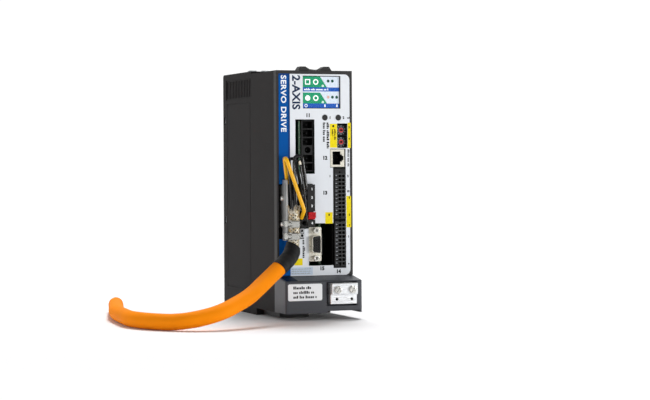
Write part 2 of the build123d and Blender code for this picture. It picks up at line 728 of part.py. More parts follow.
def rotary_bodies():
    """Two ten-position switch bodies with a round seat for each rotor."""
    bodies = []
    for x, z in ROTORS:
        body = block((21.7, 31.55), (FACE_Y + 3.0, FACE_Y + 9.0), (z - 5.0, z + 5.0))
        body = chamfer(body.edges().group_by(Axis.Y)[0], 0.3)
        body -= rod_y(x, z, ROTOR_R + RUN, (FACE_Y + 2, FACE_Y + 7.0))
        bodies.append(body)
    return all_of(bodies)


def rotor(index):
    """Switch rotor with an arrow slot for a screwdriver."""
    x, z = ROTORS[index]
    body = rod_y(x, z, ROTOR_R, (FACE_Y + 2.8, FACE_Y + 6.9))
    body -= block((x - 1.7, x + 1.7), (FACE_Y + 2, FACE_Y + 3.8), (z - 0.4, z + 0.4))
    tip = Pos(x + 1.0, FACE_Y + 3.3, z) * Rot(0, 45, 0) * Box(1.2, 1.0, 1.2)
    return body - tip


# ---- lower terminals --------------------------------------------------------------------
def earth_block():
    """Plated earth terminal: thick upper bar with two screws, thinner lower bar."""
    upper = block((5.8, 30.6), (HOOD_Y - 4.6, HOOD_Y + 6.8), (22.8, 32.8))
    upper = chamfer(upper.edges().group_by(Axis.Y)[0], 0.4)
    lower = block((5.4, 30.6), (HOOD_Y - 2.0, HOOD_Y + 6.8), (14.2, 23.0))
    lower = chamfer(lower.edges().group_by(Axis.Y)[0], 0.3)
    bar = upper + lower
    for x in EARTH_SCREWS_X:
        bar -= rod_y(x, 27.2, 2.0, (HOOD_Y - 6, HOOD_Y + 5.5))
        bar -= rod_y(x, 18.6, 1.3, (HOOD_Y - 6, HOOD_Y + 4.5))
    return bar


def earth_screws():
    """Cross-slotted pan-head screws of the earth terminal."""
    screws = []
    head_y = HOOD_Y - 4.6
    for x in EARTH_SCREWS_X:
        screw = rod_y(x, 27.2, 1.96, (head_y - 0.5, HOOD_Y + 5.4))
        head = rod_y(x, 27.2, 3.4, (head_y - 2.0, head_y - 0.01))
        screw += fillet(head.edges().group_by(Axis.Y)[0], 0.8)
        for turn in (35, 125):
            slot = Pos(x, head_y - 1.6, 27.2) * Rot(0, turn, 0) * Box(4.6, 1.2, 0.8)
            screw -= slot
        screws.append(screw)
    return all_of(screws)


SUPPLY_X = (-31.0, -3.2)
SUPPLY_Y = (-149.6, -104.2)


def supply_header():
    """Downward header for the supply plug, inside the front section."""
    x = (SUPPLY_X[0] - 1.2, SUPPLY_X[1] + 1.2)
    y = (SUPPLY_Y[0] - 1.2, SUPPLY_Y[1] + 1.2)
    header = block(x, y, (8.6, 26.0))
    header -= block((x[0] + 1.0, x[1] - 1.0), (y[0] + 1.0, y[1] - 1.0), (8, 22.0))
    for index in range(6):
        row = SUPPLY_Y[0] + 3.8 + index * POWER_PITCH
        header += block((-17.7, -16.5), (row - 0.6, row + 0.6), (14.0, 23.0))
    return header


def supply_plug():
    """Six-pole supply plug with a wire entry and a screw opening for each pole."""
    plug = block(SUPPLY_X, SUPPLY_Y, (1.2, 20.0))
    for index in range(6):
        row = SUPPLY_Y[0] + 3.8 + index * POWER_PITCH
        plug -= block((-29.0, -22.6), (row - 2.8, row + 2.8), (0, 7.0))
        plug -= rod_z(-9.4, row, 2.3, (0, 4.0))
        plug -= block((-18.0, -16.2), (row - 0.9, row + 0.9), (13.0, 21.0))
    return plug


# ---- shield clamp and motor lead --------------------------------------------------------
def shield_plate():
    """Upright sheet on the plug's side with a long slot and two band windows."""
    blade = block(PLATE_X, (PLATE_Y[0], FACE_Y - 0.6), PLATE_Z)
    blade += block(PLATE_X, (FACE_Y - 1.0, PLATE_Y[1]), (82.4, 121.0))
    blade = fillet(blade.edges().filter_by(Axis.X).group_by(Axis.Y)[0], 1.2)
    blade -= block((-33, -29), PLATE_SLOT_Y, (92.5, 123.0))
    for z in CLAMP_HEIGHTS:
        blade -= block((-33, -29), (-167.4, -163.9), (z - 3.2, z + 3.2))
    for z in RIVET_HEIGHTS:
        blade -= rod_x(RIVET_Y, z, 1.3, (-33, -29))
    return blade


def shield_screws():
    """Dome-headed screws that hold the shield plate to the plug."""
    screws = []
    for z in RIVET_HEIGHTS:
        screw = rod_x(RIVET_Y, z, 1.25, (PLATE_X[0] - 0.5, -27.2))
        head = rod_x(RIVET_Y, z, 2.2, (PLATE_X[0] - 2.0, PLATE_X[0] - 0.01))
        screw += fillet(head.edges().group_by(Axis.X)[0], 1.3)
        screws.append(screw)
    return all_of(screws)


def band_face(grow):
    """Outline of a clamp band round the braid and the plate's free edge."""
    braid = Pos(BRAID_X, BRAID_Y) * Circle(BRAID_R + 0.1)
    front = Pos(-31.0, PLATE_Y[0] + 0.6) * Circle(1.2)
    rear = Pos(-31.0, -166.3) * Circle(1.2)
    edges = braid.edges() + front.edges() + rear.edges()
    return offset(make_hull(edges), grow)


def hose_clamps():
    """Two worm-drive bands round the braid and the shield plate."""
    clamps = []
    for z in CLAMP_HEIGHTS:
        band = Pos(0, 0, z - 2.7) * extrude(band_face(0.7) - band_face(0.02), 5.4)
        housing = block(CLAMP_HOUSING_X, (-182.6, -174.6), (z - 3.3, z + 3.3))
        housing = fillet(housing.edges().filter_by(Axis.X).group_by(Axis.Y)[0], 1.2)
        housing -= Pos(0, 0, z - 4) * extrude(band_face(0.5), 8)
        band += housing
        band -= rod_x(CLAMP_SCREW_Y, z, 1.35, (-31, -19))
        clamps.append(band)
    return all_of(clamps)


def clamp_screws():
    """Worm screws of the bands, with slotted hexagon heads to the left."""
    screws = []
    for z in CLAMP_HEIGHTS:
        shank = rod_x(CLAMP_SCREW_Y, z, 1.3, (-31.2, CLAMP_HOUSING_X[1] - 0.2))
        outline = RegularPolygon(2.0, 6, major_radius=False)
        head = extrude(Pos(-34.2, CLAMP_SCREW_Y, z) * Rot(0, 90, 0) * outline, 3.2)
        slot = block((-35, -33.4), (CLAMP_SCREW_Y - 4, CLAMP_SCREW_Y + 4), (z - 0.4, z + 0.4))
        screw = shank + head - slot
        screws.append(screw)
    return all_of(screws)


# the lead's centre line: down through the clamps, forward and left to the floor, then back
LEAD_POINTS = (
    (BRAID_X, BRAID_Y, 98.5),
    (BRAID_X, BRAID_Y, 59.5),
    (-86.0, -229.0, 26.0),
    (-136.5, -258.0, 7.2),
    (-180.0, -200.0, 7.2),
    (-172.0, -109.0, 7.2),
    (-148.0, -12.0, 7.2),
)
LEAD_RADII = (20.0, 100.0, 44.0, 80.0, 230.0)
SLEEVE_START = 32.0     # distances along the lead
SLEEVE_END = 67.5
BORE_R = 5.5
BRAID_BORE_R = 4.55
CORE_R = 1.75
CORE_RING = 2.7
CORE_REACH = (4.0, 6.0)  # how far the cores start below the braid's end and stand out of the cut end


def lead_part(start, end):
    """The lead's centre line from one distance to another; no end means the cut end."""
    path = bent_line(LEAD_POINTS, LEAD_RADII)
    return path.trim(start / path.length, 1.0 if end is None else end / path.length)


def lead_tube(radius, bore, start, end):
    path = lead_part(start, end)
    return rod_along(path, radius) - rod_along(path, bore)


def cable_braid():
    return lead_tube(BRAID_R, BRAID_BORE_R, 0.0, SLEEVE_END)


def cable_sleeve():
    """Shrink sleeve over the end of the braid and the jacket's edge."""
    return lead_tube(SLEEVE_R, BRAID_R + 0.02, SLEEVE_START, SLEEVE_END)


def cable_jacket():
    return lead_tube(CABLE_R, BORE_R, SLEEVE_END, None)


def cable_cores():
    """Four insulated cores that show at the cut end."""
    path = lead_part(CORE_REACH[0], None)
    end = Line(path @ 1, path @ 1 + (path % 1) * CORE_REACH[1])
    route = Wire(path.edges() + end.edges())
    plane = Plane(origin=path @ 0, z_dir=path % 0)
    spots = PolarLocations(CORE_RING, 4, start_angle=20)
    return all_of(sweep(plane * spot * Circle(CORE_R), path=route) for spot in spots)


POWER_WIRE_R = 1.5
GROUND_WIRE_R = 1.7
BRAKE_WIRE_R = 0.85
HOLE_X = -13.2          # line of the plug's wire holes
WIRE_END_Y = -160.0


def power_wires():
    """Three black cores that loop up from the braid and down into the plug."""
    tall = (
        (-22.6, -171.6, 99.0),
        (-24.2, -171.9, 147.0),
        (-17.2, -173.0, 147.0),
        (HOLE_X, -173.4, 117.2),
        (HOLE_X, WIRE_END_Y, 117.2),
    )
    middle = (
        (-26.6, -172.6, 99.0),
        (-28.6, -170.0, 144.6),
        (-22.4, -167.4, 144.6),
        (-18.4, -169.4, 126.0),
        (-16.8, -172.6, 109.6),
        (HOLE_X, -168.4, 109.6),
        (HOLE_X, WIRE_END_Y, 109.6),
    )
    short = (
        (-25.8, -168.4, 99.0),
        (-25.6, -166.6, 128.0),
        (-21.4, -166.6, 128.0),
        (-21.0, -171.0, 108.0),
        (-17.2, -173.0, 102.0),
        (HOLE_X, -168.4, 102.0),
        (HOLE_X, WIRE_END_Y, 102.0),
    )
    lines = (
        bent_line(tall, (3.2, 3.2, 3.2)),
        bent_line(middle, (3.0, 3.0, 14.0, 2.6, 4.0)),
        bent_line(short, (2.0, 2.0, 6.0, 2.6, 3.6)),
    )
    return all_of(rod_along(line, POWER_WIRE_R) for line in lines)


def ground_wire():
    """Yellow earth core: out of the braid, up over the plug and back to its shelf."""
    route = (
        (-17.8, -171.8, 91.0),
        (-17.0, -178.0, 98.2),
        (-33.6, -177.2, 144.8),
        (-31.4, -166.0, 144.8),
        (-27.4, -162.3, 121.9),
    )
    return rod_along(bent_line(route, (6.0, 3.2, 3.2)), GROUND_WIRE_R)


def brake_wires():
    """Thin brake pair: one loops up beside the power cores, one goes straight across."""
    looped = (
        (-24.2, -174.3, 99.0),
        (-26.0, -174.6, 143.0),
        (-20.6, -175.9, 143.0),
        (-16.6, -176.4, 118.0),
        (HOLE_X, -174.8, 86.8),
        (HOLE_X, WIRE_END_Y, 86.8),
    )
    direct = (
        (-20.8, -168.0, 99.0),
        (-20.4, -170.6, 102.4),
        (HOLE_X, -171.6, 94.4),
        (HOLE_X, WIRE_END_Y, 94.4),
    )
    lines = (bent_line(looped, (2.6, 2.6, 20.0, 3.0)), bent_line(direct, (1.6, 2.6)))
    return all_of(rod_along(line, BRAKE_WIRE_R) for line in lines)


NODES = {
    "back_plate": back_plate,
    "left_shell": left_shell,
    "right_shell": right_shell,
    "front_cover": front_cover,
    "lower_hood": lower_hood,
    "top_guide": top_guide,
    "blue_overlay": blue_overlay,
    "white_overlay": white_overlay,
    "type_label": type_label,
    "display_lens": display_lens,
    "display_module": display_module,
    "display_board": display_board,
    "tact_switches": tact_switches,
    "button_b1": lambda: button(0),
    "button_b2": lambda: button(1),
    "control_board": control_board,
    "io_board": io_board,
    "encoder_board": encoder_board,
    "power_board": power_board,
    "board_posts": board_posts,
    "heat_sink": heat_sink,
    "heat_sink_screws": heat_sink_screws,
    "power_module": power_module,
    "dc_capacitors": dc_capacitors,
    "fan_frame": fan_frame,
    "fan_impeller": fan_impeller,
    "fan_guard": fan_guard,
    "fan_screws": fan_screws,
    "aux_header": aux_header,
    "motor_header": motor_header,
    "motor_plug": motor_plug,
    "motor_plug_latch": motor_plug_latch,
    "io_header_upper": io_header_upper,
    "io_header_lower": io_header_lower,
    "io_plug_upper": io_plug_upper,
    "io_plug_lower": io_plug_lower,
    "rj45_shell": rj45_shell,
    "rj45_insert": rj45_insert,
    "rj45_contacts": rj45_contacts,
    "dsub_shell": dsub_shell,
    "dsub_insert": dsub_insert,
    "dsub_jackscrews": dsub_jackscrews,
    "rotary_bodies": rotary_bodies,
    "rotor_s1": lambda: rotor(0),
    "rotor_s2": lambda: rotor(1),
    "earth_block": earth_block,
    "earth_screws": earth_screws,
    "supply_header": supply_header,
    "supply_plug": supply_plug,
    "shield_plate": shield_plate,
    "shield_screws": shield_screws,
    "hose_clamps": hose_clamps,
    "clamp_screws": clamp_screws,
    "cable_braid": cable_braid,
    "cable_sleeve": cable_sleeve,
    "cable_jacket": cable_jacket,
    "cable_cores": cable_cores,
    "power_wires": power_wires,
    "ground_wire": ground_wire,
    "brake_wires": brake_wires,
}

os.makedirs("parts", exist_ok=True)
for name, build in NODES.items():
    export_step(build(), f"parts/{name}.step")
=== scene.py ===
import json
import math
import random

import bmesh
import bpy
import numpy as np
from mathutils import Matrix, Vector


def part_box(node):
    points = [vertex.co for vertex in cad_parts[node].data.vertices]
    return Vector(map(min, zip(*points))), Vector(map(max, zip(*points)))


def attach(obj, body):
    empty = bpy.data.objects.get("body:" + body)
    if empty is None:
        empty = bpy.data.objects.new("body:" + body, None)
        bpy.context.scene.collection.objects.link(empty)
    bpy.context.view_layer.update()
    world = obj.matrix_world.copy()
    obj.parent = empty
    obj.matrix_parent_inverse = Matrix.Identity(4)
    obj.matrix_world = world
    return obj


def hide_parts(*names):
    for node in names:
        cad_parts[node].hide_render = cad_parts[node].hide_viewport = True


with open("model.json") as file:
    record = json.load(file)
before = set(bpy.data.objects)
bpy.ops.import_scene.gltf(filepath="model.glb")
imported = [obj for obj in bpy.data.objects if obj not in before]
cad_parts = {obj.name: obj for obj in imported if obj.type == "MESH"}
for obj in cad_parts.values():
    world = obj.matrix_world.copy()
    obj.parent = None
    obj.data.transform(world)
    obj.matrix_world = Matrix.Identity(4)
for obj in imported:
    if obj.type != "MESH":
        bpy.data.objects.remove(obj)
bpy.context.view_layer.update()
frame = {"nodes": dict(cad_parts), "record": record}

# Sizes and places below are in millimetres of the shared frame; MM turns them into metres.
MM = 0.001

# Fronts of the faces that carry print, and how far ink stands in front of them; the depth inside
# the earth terminal's holes carries painted shade
FACE_Y = -160.3         # overlays on the front cover
PLUG_Y = -168.0         # column of the motor plug
LABEL_Y = -182.3        # type label
DIAL_Y = -157.0         # rotary switches
PICTURE_Y = -158.7      # the display's picture, just behind its window
# painted shade: dark discs stand this deep in the earth terminal's holes
HOLE_SHADE_Y = -183.6  # just inside the earth terminal's holes
PRINT = 0.03

# Painted shade: below this height the blue foil is painted dark navy, the shade the lead casts on
# the hood's flap
SHADED_FLAP_Z = 39.4           # the blue strip goes on darker below this, on the hood


# ---- materials ------------------------------------------------------------------------
def linear(hex_colour):
    """Scene-linear colour from an sRGB hex string."""
    channels = [int(hex_colour[i:i + 2], 16) / 255 for i in (0, 2, 4)]
    return [c / 12.92 if c <= 0.04045 else ((c + 0.055) / 1.055) ** 2.4 for c in channels]


def solid(hex_colour):
    """Opaque scene-linear colour from an sRGB hex string."""
    return linear(hex_colour) + [1.0]


def shade(colour, factor):
    """Opaque linear colour made lighter or darker by a factor."""
    return [min(1.0, c * factor) for c in colour] + [1.0]


class Nodes:
    """A new material, with short ways to add, link and set its shader nodes."""

    def __init__(self, name):
        self.material = bpy.data.materials.new(name)
        self.material.use_nodes = True
        self.tree = self.material.node_tree
        self.shader = self.tree.nodes["Principled BSDF"]
        self.place = self.add("ShaderNodeTexCoord").outputs["Object"]

    def add(self, kind, **settings):
        node = self.tree.nodes.new(kind)
        for key, value in settings.items():
            setattr(node, key, value)
        return node

    def link(self, source, target):
        self.tree.links.new(source, target)

    def feed(self, socket, value):
        """Gives a socket a number or colour, or the output of another node."""
        if isinstance(value, bpy.types.NodeSocket):
            self.link(value, socket)
        else:
            socket.default_value = value

    def put(self, name, value):
        """Feeds one input of the main shader."""
        self.feed(self.shader.inputs[name], value)

    def texture(self, kind, scale, **settings):
        """A texture node on the object's own coordinates; scale is in patterns per metre."""
        node = self.add(kind, **settings)
        node.inputs["Scale"].default_value = scale
        self.link(self.place, node.inputs["Vector"])
        return node

    def noise(self, scale, detail=3.0, stretch=None):
        """Noise value output; a stretch below 1 draws the pattern out along that axis."""
        node = self.texture("ShaderNodeTexNoise", scale)
        node.inputs["Detail"].default_value = detail
        if stretch is not None:
            mapping = self.add("ShaderNodeMapping")
            mapping.inputs["Scale"].default_value = stretch
            self.link(self.place, mapping.inputs["Vector"])
            self.link(mapping.outputs["Vector"], node.inputs["Vector"])
        return node.outputs["Fac"]

    def clouds(self, scale, low=0.0, high=1.0, detail=3.0, stretch=None):
        """Noise whose usual values are spread over low..high."""
        return self.remap(self.noise(scale, detail, stretch), 0.3, 0.7, low, high)

    def remap(self, value, low, high, to_low=0.0, to_high=1.0):
        node = self.add("ShaderNodeMapRange")
        node.inputs["From Min"].default_value = low
        node.inputs["From Max"].default_value = high
        node.inputs["To Min"].default_value = to_low
        node.inputs["To Max"].default_value = to_high
        self.link(value, node.inputs["Value"])
        return node.outputs["Result"]

    def mix(self, factor, first, second, blend="MIX"):
        """Colour from first to second by the factor, through a blend type."""
        node = self.add("ShaderNodeMix", data_type="RGBA", blend_type=blend)
        self.feed(node.inputs[0], factor)
        self.feed(node.inputs[6], first)    # 6, 7 and output 2 are the node's colour sockets
        self.feed(node.inputs[7], second)
        return node.outputs[2]

    def product(self, first, second):
        node = self.add("ShaderNodeMath", operation="MULTIPLY")
        self.link(first, node.inputs[0])
        self.link(second, node.inputs[1])
        return node.outputs[0]

    def edges(self, radius):
        """(rounded normal, 0..1 mask of sharp edges) for edges nearer than the radius."""
        bevel = self.add("ShaderNodeBevel", samples=4)
        bevel.inputs["Radius"].default_value = radius * MM
        dot = self.add("ShaderNodeVectorMath", operation="DOT_PRODUCT")
        self.link(bevel.outputs["Normal"], dot.inputs[0])
        self.link(self.add("ShaderNodeNewGeometry").outputs["True Normal"], dot.inputs[1])
        return bevel.outputs["Normal"], self.remap(dot.outputs["Value"], 0.995, 0.86)

    def relief(self, height, strength, depth, normal=None):
        """Bumps the surface by a height output; depth is in millimetres."""
        bump = self.add("ShaderNodeBump")
        bump.inputs["Strength"].default_value = strength
        bump.inputs["Distance"].default_value = depth * MM
        self.link(height, bump.inputs["Height"])
        if normal is not None:
            self.link(normal, bump.inputs["Normal"])
        self.put("Normal", bump.outputs["Normal"])


def surface(name, colour, rough, metal=0.0, vary=0.08, blotch=28.0, grain=1400.0, bump=0.12,
            bevel=0.35, wear=0.25, worn=2.2, gloss=0.5, coat=0.0, stretch=None):
    """Material with colour variation, uneven roughness, fine grain and worn, rounded edges.

    blotch and grain are the scales of the colour variation and of the fine relief, bevel is
    the edges' radius in millimetres, wear is how much of an edge is scuffed, and worn is how
    much lighter it is there.
    """
    nodes = Nodes(name)
    base = linear(colour)
    patches = nodes.clouds(blotch, detail=4.0, stretch=stretch)
    tone = nodes.mix(patches, shade(base, 1 - vary), shade(base, 1 + vary))
    normal, mask = nodes.edges(bevel)
    scuffs = nodes.remap(nodes.noise(210.0, 5.0), 0.42, 0.66, 0.0, wear)
    bare = shade([c + 0.02 for c in base], worn)
    nodes.put("Base Color", nodes.mix(nodes.product(mask, scuffs), tone, bare))
    fine = nodes.noise(grain, 2.0, stretch)
    spread = 0.10 if rough > 0.2 else rough * 0.5
    nodes.put("Roughness", nodes.remap(fine, 0.25, 0.75, rough - spread, rough + spread))
    nodes.relief(fine, bump, 0.15, normal)
    nodes.put("Metallic", metal)
    nodes.put("Specular IOR Level", gloss)
    nodes.put("Coat Weight", coat)
    nodes.put("Coat Roughness", 0.15)
    return nodes.material


def ink(name, colour, glow=0.0):
    """Printed ink, also used as painted shade and painted highlights: slightly uneven in colour and
    sheen; glow makes it shine as a display does.
    """
    nodes = Nodes(name)
    base = linear(colour)
    tone = nodes.mix(nodes.clouds(600.0), shade(base, 0.92), shade(base, 1.06))
    nodes.put("Base Color", tone)
    nodes.put("Roughness", nodes.clouds(2500.0, 0.37, 0.53, detail=2.0))
    nodes.relief(nodes.noise(3000.0, 2.0), 0.05, 0.05)
    nodes.put("Specular IOR Level", 0.1)
    if glow:
        nodes.put("Emission Color", tone)
        nodes.put("Emission Strength", glow)
    return nodes.material


def galvanised(name):
    """Zinc spangle: crystals with their own tone and sheen."""
    nodes = Nodes(name)
    base = linear("c3c8cc")
    crystals = nodes.texture("ShaderNodeTexVoronoi", 190.0)
    split = nodes.add("ShaderNodeSeparateColor")
    nodes.link(crystals.outputs["Color"], split.inputs["Color"])
    nodes.put("Base Color", nodes.mix(split.outputs["Red"], shade(base, 0.78), shade(base, 1.12)))
    nodes.put("Roughness", nodes.remap(split.outputs["Green"], 0.0, 1.0, 0.28, 0.46))
    nodes.relief(nodes.noise(900.0), 0.15, 0.1, nodes.edges(0.3)[0])
    nodes.put("Metallic", 0.9)
    return nodes.material


def circuit_board(name):
    """Green solder mask with traces, pads and a lighter cut edge."""
    nodes = Nodes(name)
    traces = nodes.texture("ShaderNodeTexBrick", 260.0, offset=0.4)
    traces.inputs["Mortar Size"].default_value = 0.035
    copper = nodes.remap(traces.outputs["Fac"], 0.0, 1.0, 0.0, 0.6)
    mask = nodes.mix(copper, solid("2e5a41"), solid("4f8a5c"))
    pads = nodes.texture("ShaderNodeTexVoronoi", 330.0)
    solder = nodes.remap(pads.outputs["Distance"], 0.2, 0.16)
    board = nodes.mix(solder, mask, solid("b9bfb4"))
    normal, edge = nodes.edges(1.0)
    cut = nodes.remap(edge, 0.05, 0.3)
    nodes.put("Base Color", nodes.mix(cut, board, solid("a3b49a")))
    nodes.put("Roughness", nodes.clouds(800.0, 0.3, 0.5))
    nodes.put("Normal", normal)
    return nodes.material


def clear_window(name):
    """Thin clear acrylic: sees straight through, with a soft reflection and faint smears."""
    nodes = Nodes(name)
    nodes.put("Roughness", nodes.clouds(90.0, 0.05, 0.16, detail=4.0))
    nodes.put("Base Color", nodes.mix(nodes.noise(40.0), solid("eef4f6"), solid("f8fbfc")))
    nodes.put("Alpha", 0.012)
    return nodes.material


def braid_wire(name):
    """Tinned copper strands: bright tin with warm patches where the copper shows through."""
    nodes = Nodes(name)
    patches = nodes.remap(nodes.noise(420.0, 4.0), 0.46, 0.62)
    tone = nodes.mix(patches, solid("fbf5e6"), solid("d6bd86"))
    strands = nodes.mix(nodes.noise(2600.0, 2.0), [0.68] * 3 + [1.0], [1.0] * 4)
    nodes.put("Base Color", nodes.mix(1.0, tone, strands, "MULTIPLY"))
    nodes.put("Roughness", nodes.clouds(1500.0, 0.22, 0.42))
    nodes.relief(nodes.noise(4000.0), 0.2, 0.05)
    nodes.put("Metallic", 0.5)
    return nodes.material


def two_tone(material, height, shade_colour):
    """Paints shade into a finished material: another, darker colour below a height in millimetres.
    """
    tree = material.node_tree
    target = tree.nodes["Principled BSDF"].inputs["Base Color"]
    upper = target.links[0].from_socket
    position = tree.nodes.new("ShaderNodeNewGeometry").outputs["Position"]
    split = tree.nodes.new("ShaderNodeSeparateXYZ")
    tree.links.new(position, split.inputs["Vector"])
    above = tree.nodes.new("ShaderNodeMath")
    above.operation = "GREATER_THAN"
    above.inputs[1].default_value = height * MM
    tree.links.new(split.outputs["Z"], above.inputs[0])
    blend = tree.nodes.new("ShaderNodeMix")
    blend.data_type = "RGBA"
    blend.inputs[6].default_value = solid(shade_colour)
    tree.links.new(above.outputs[0], blend.inputs[0])
    tree.links.new(upper, blend.inputs[7])
    tree.links.new(blend.outputs[2], target)
    return material


UP = (1.0, 1.0, 0.04)       # streaks along Z
ACROSS = (0.05, 1.0, 1.0)   # streaks along X

# The record's material slots that surface() makes, with its settings
SURFACES = {
    "housing_plastic": dict(
        colour="272525", rough=0.6, vary=0.06, gloss=0.06, bump=0.22, wear=0.35),
    "cover_plastic": dict(
        colour="2e2d2d", rough=0.5, vary=0.05, gloss=0.22, bump=0.2, wear=0.5),
    "hood_plastic": dict(
        colour="383a40", rough=0.42, vary=0.05, gloss=0.4, bump=0.2, wear=0.5, bevel=0.7),
    "blue_foil": dict(
        colour="00509c", rough=0.5, vary=0.07, gloss=0.06, bump=0.06, wear=0.2, worn=1.5),
    "white_foil": dict(colour="dfe3e8", rough=0.42, vary=0.015, gloss=0.35, bump=0.05, wear=0.0),
    "label_paper": dict(colour="e9ebed", rough=0.55, vary=0.015, gloss=0.3, bump=0.1, wear=0.0),
    "display_glass": dict(colour="14181c", rough=0.18, vary=0.1, bump=0.02, wear=0.0),
    "black_connector": dict(
        colour="0b0b0c", rough=0.4, vary=0.12, gloss=0.3, bump=0.16, wear=0.12, worn=3.0),
    "black_button": dict(colour="0b0b0c", rough=0.35, vary=0.1, bump=0.06, wear=0.3, worn=3.0),
    "brass_posts": dict(colour="b59a55", rough=0.3, metal=1.0, bump=0.1, stretch=ACROSS),
    "sink_aluminium": dict(
        colour="b7babd", rough=0.36, metal=1.0, bump=0.2, grain=700.0, stretch=UP),
    "plated_screws": dict(colour="c9ccd0", rough=0.28, metal=1.0, bump=0.15, bevel=0.2),
    "module_case": dict(colour="26282a", rough=0.45, bump=0.2),
    "capacitor_sleeve": dict(colour="1c2430", rough=0.3, bump=0.05, coat=0.2),
    "fan_plastic": dict(colour="1a1a1b", rough=0.45, bump=0.12),
    "guard_steel": dict(colour="aeb2b5", rough=0.3, metal=1.0, bump=0.08),
    "latch_red": dict(colour="bf0f18", rough=0.4, vary=0.08, gloss=0.2, wear=0.4, worn=1.6),
    "tinned_shell": dict(
        colour="d8d4c6", rough=0.32, metal=0.55, vary=0.1, blotch=120.0, bump=0.15, bevel=0.25),
    "gold_contacts": dict(colour="d9b45a", rough=0.22, metal=1.0, bump=0.05, bevel=0.1),
    "nickel_screws": dict(colour="d8d7d2", rough=0.22, metal=0.8, bump=0.08, bevel=0.2),
    "rotor_red": dict(colour="c4262a", rough=0.4, vary=0.08, bump=0.08, bevel=0.15),
    "terminal_metal": dict(
        colour="eceef0", rough=0.3, metal=0.45, vary=0.05, blotch=90.0, bump=0.15,
        stretch=ACROSS),
    "shield_steel": dict(
        colour="b0b2b2", rough=0.38, metal=0.7, vary=0.08, blotch=60.0, bump=0.15, stretch=UP),
    "clamp_steel": dict(
        colour="b8b8b3", rough=0.26, metal=0.85, vary=0.08, bump=0.12, bevel=0.25,
        stretch=ACROSS),
    "shrink_sleeve": dict(
        colour="0d0c0e", rough=0.5, vary=0.12, blotch=60.0, gloss=0.3, bump=0.25, wear=0.2,
        worn=3.0),
    "orange_jacket": dict(
        colour="f78b04", rough=0.7, vary=0.05, blotch=22.0, grain=900.0, gloss=0.08, bump=0.1,
        wear=0.0),
    "core_insulation": dict(
        colour="0a0a0b", rough=0.3, vary=0.1, bump=0.06, wear=0.0, coat=0.3),
    "black_insulation": dict(
        colour="060607", rough=0.3, vary=0.1, gloss=0.3, bump=0.06, wear=0.0, coat=0.4),
    "yellow_insulation": dict(
        colour="f2b408", rough=0.34, vary=0.1, gloss=0.3, bump=0.06, wear=0.0, coat=0.1),
    "thin_insulation": dict(
        colour="070708", rough=0.3, vary=0.1, gloss=0.3, bump=0.06, wear=0.0, coat=0.4),
}
FINISHES = {slot: surface(slot, **look) for slot, look in SURFACES.items()}
# Painted shade: the blue foil turns dark navy on the hood's flap, where the lead shades it
FINISHES["blue_foil"] = two_tone(FINISHES["blue_foil"], SHADED_FLAP_Z, "0a1a33")
FINISHES["galvanised_sheet"] = galvanised("galvanised_sheet")
FINISHES["circuit_board"] = circuit_board("circuit_board")
FINISHES["clear_window"] = clear_window("clear_window")
FINISHES["braid_wire"] = braid_wire("braid_wire")

# The dark ink also paints shade in holes and slots; the grey ink also paints highlights on the
# plugs' tabs
DARK_INK_AND_SHADE = ink("dark_ink_and_shade", "07080b")
NAVY_INK = ink("navy_ink", "1b2c49")
WHITE_INK = ink("white_ink", "eef1f4")
YELLOW_INK = ink("yellow_ink", "ecd618")
NOTE_INK = ink("note_ink", "c3d2e2")
BLUE_SHADE_INK = ink("blue_shade_ink", "083a78")
GREY_INK_AND_HIGHLIGHT = ink("grey_ink_and_highlight", "9ea2a6")
# painted highlight on the ribs of the black signal plugs
RIB_HIGHLIGHT = ink("rib_highlight", "56585a")
CREAM_SLEEVE = surface("cream_sleeve", "e9e0cc", 0.4, vary=0.05, bump=0.08, wear=0.0)
SCREEN_PALE = ink("screen_pale", "d3deea", glow=0.12)
SCREEN_GREEN = ink("screen_green", "0c9466", glow=0.12)
SCREEN_BLUE = ink("screen_blue", "0f52b0", glow=0.15)
SCREEN_WHITE = ink("screen_white", "f4fbf8", glow=0.25)
SCREEN_DARK = ink("screen_dark", "0c4c3e", glow=0.05)
SCREEN_WARM = ink("screen_warm", "cfa79b", glow=0.2)


def dress_frame():
    """Gives each CAD node the finish of its material slot."""
    slots = {part["node"]: part["material_slot"] for part in frame["record"]["subparts"]}
    for name, node in frame["nodes"].items():
        node.data.materials.clear()
        node.data.materials.append(FINISHES[slots[name]])


# ---- mesh helpers -----------------------------------------------------------------------
def make_piece(name, mesh, material, body="drive", replaces=()):
    """Adds a mesh to the scene as a piece that rides on a body."""
    piece = bpy.data.objects.new(name, mesh)
    bpy.context.scene.collection.objects.link(piece)
    piece.data.materials.clear()
    piece.data.materials.append(material)
    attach(piece, body)
    if replaces:
        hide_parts(*replaces)
    return piece


def node_box(node):
    """Lowest and highest corner of a CAD node, in millimetres."""
    low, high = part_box(node)
    return low / MM, high / MM


def circle(x, z, radius, sides):
    """(x, z) points round a circle."""
    turn = 2 * math.pi / sides
    return [(x + radius * math.cos(k * turn), z + radius * math.sin(k * turn))
            for k in range(sides)]


ARC_STEP = 3.0          # degrees between the points of an arc


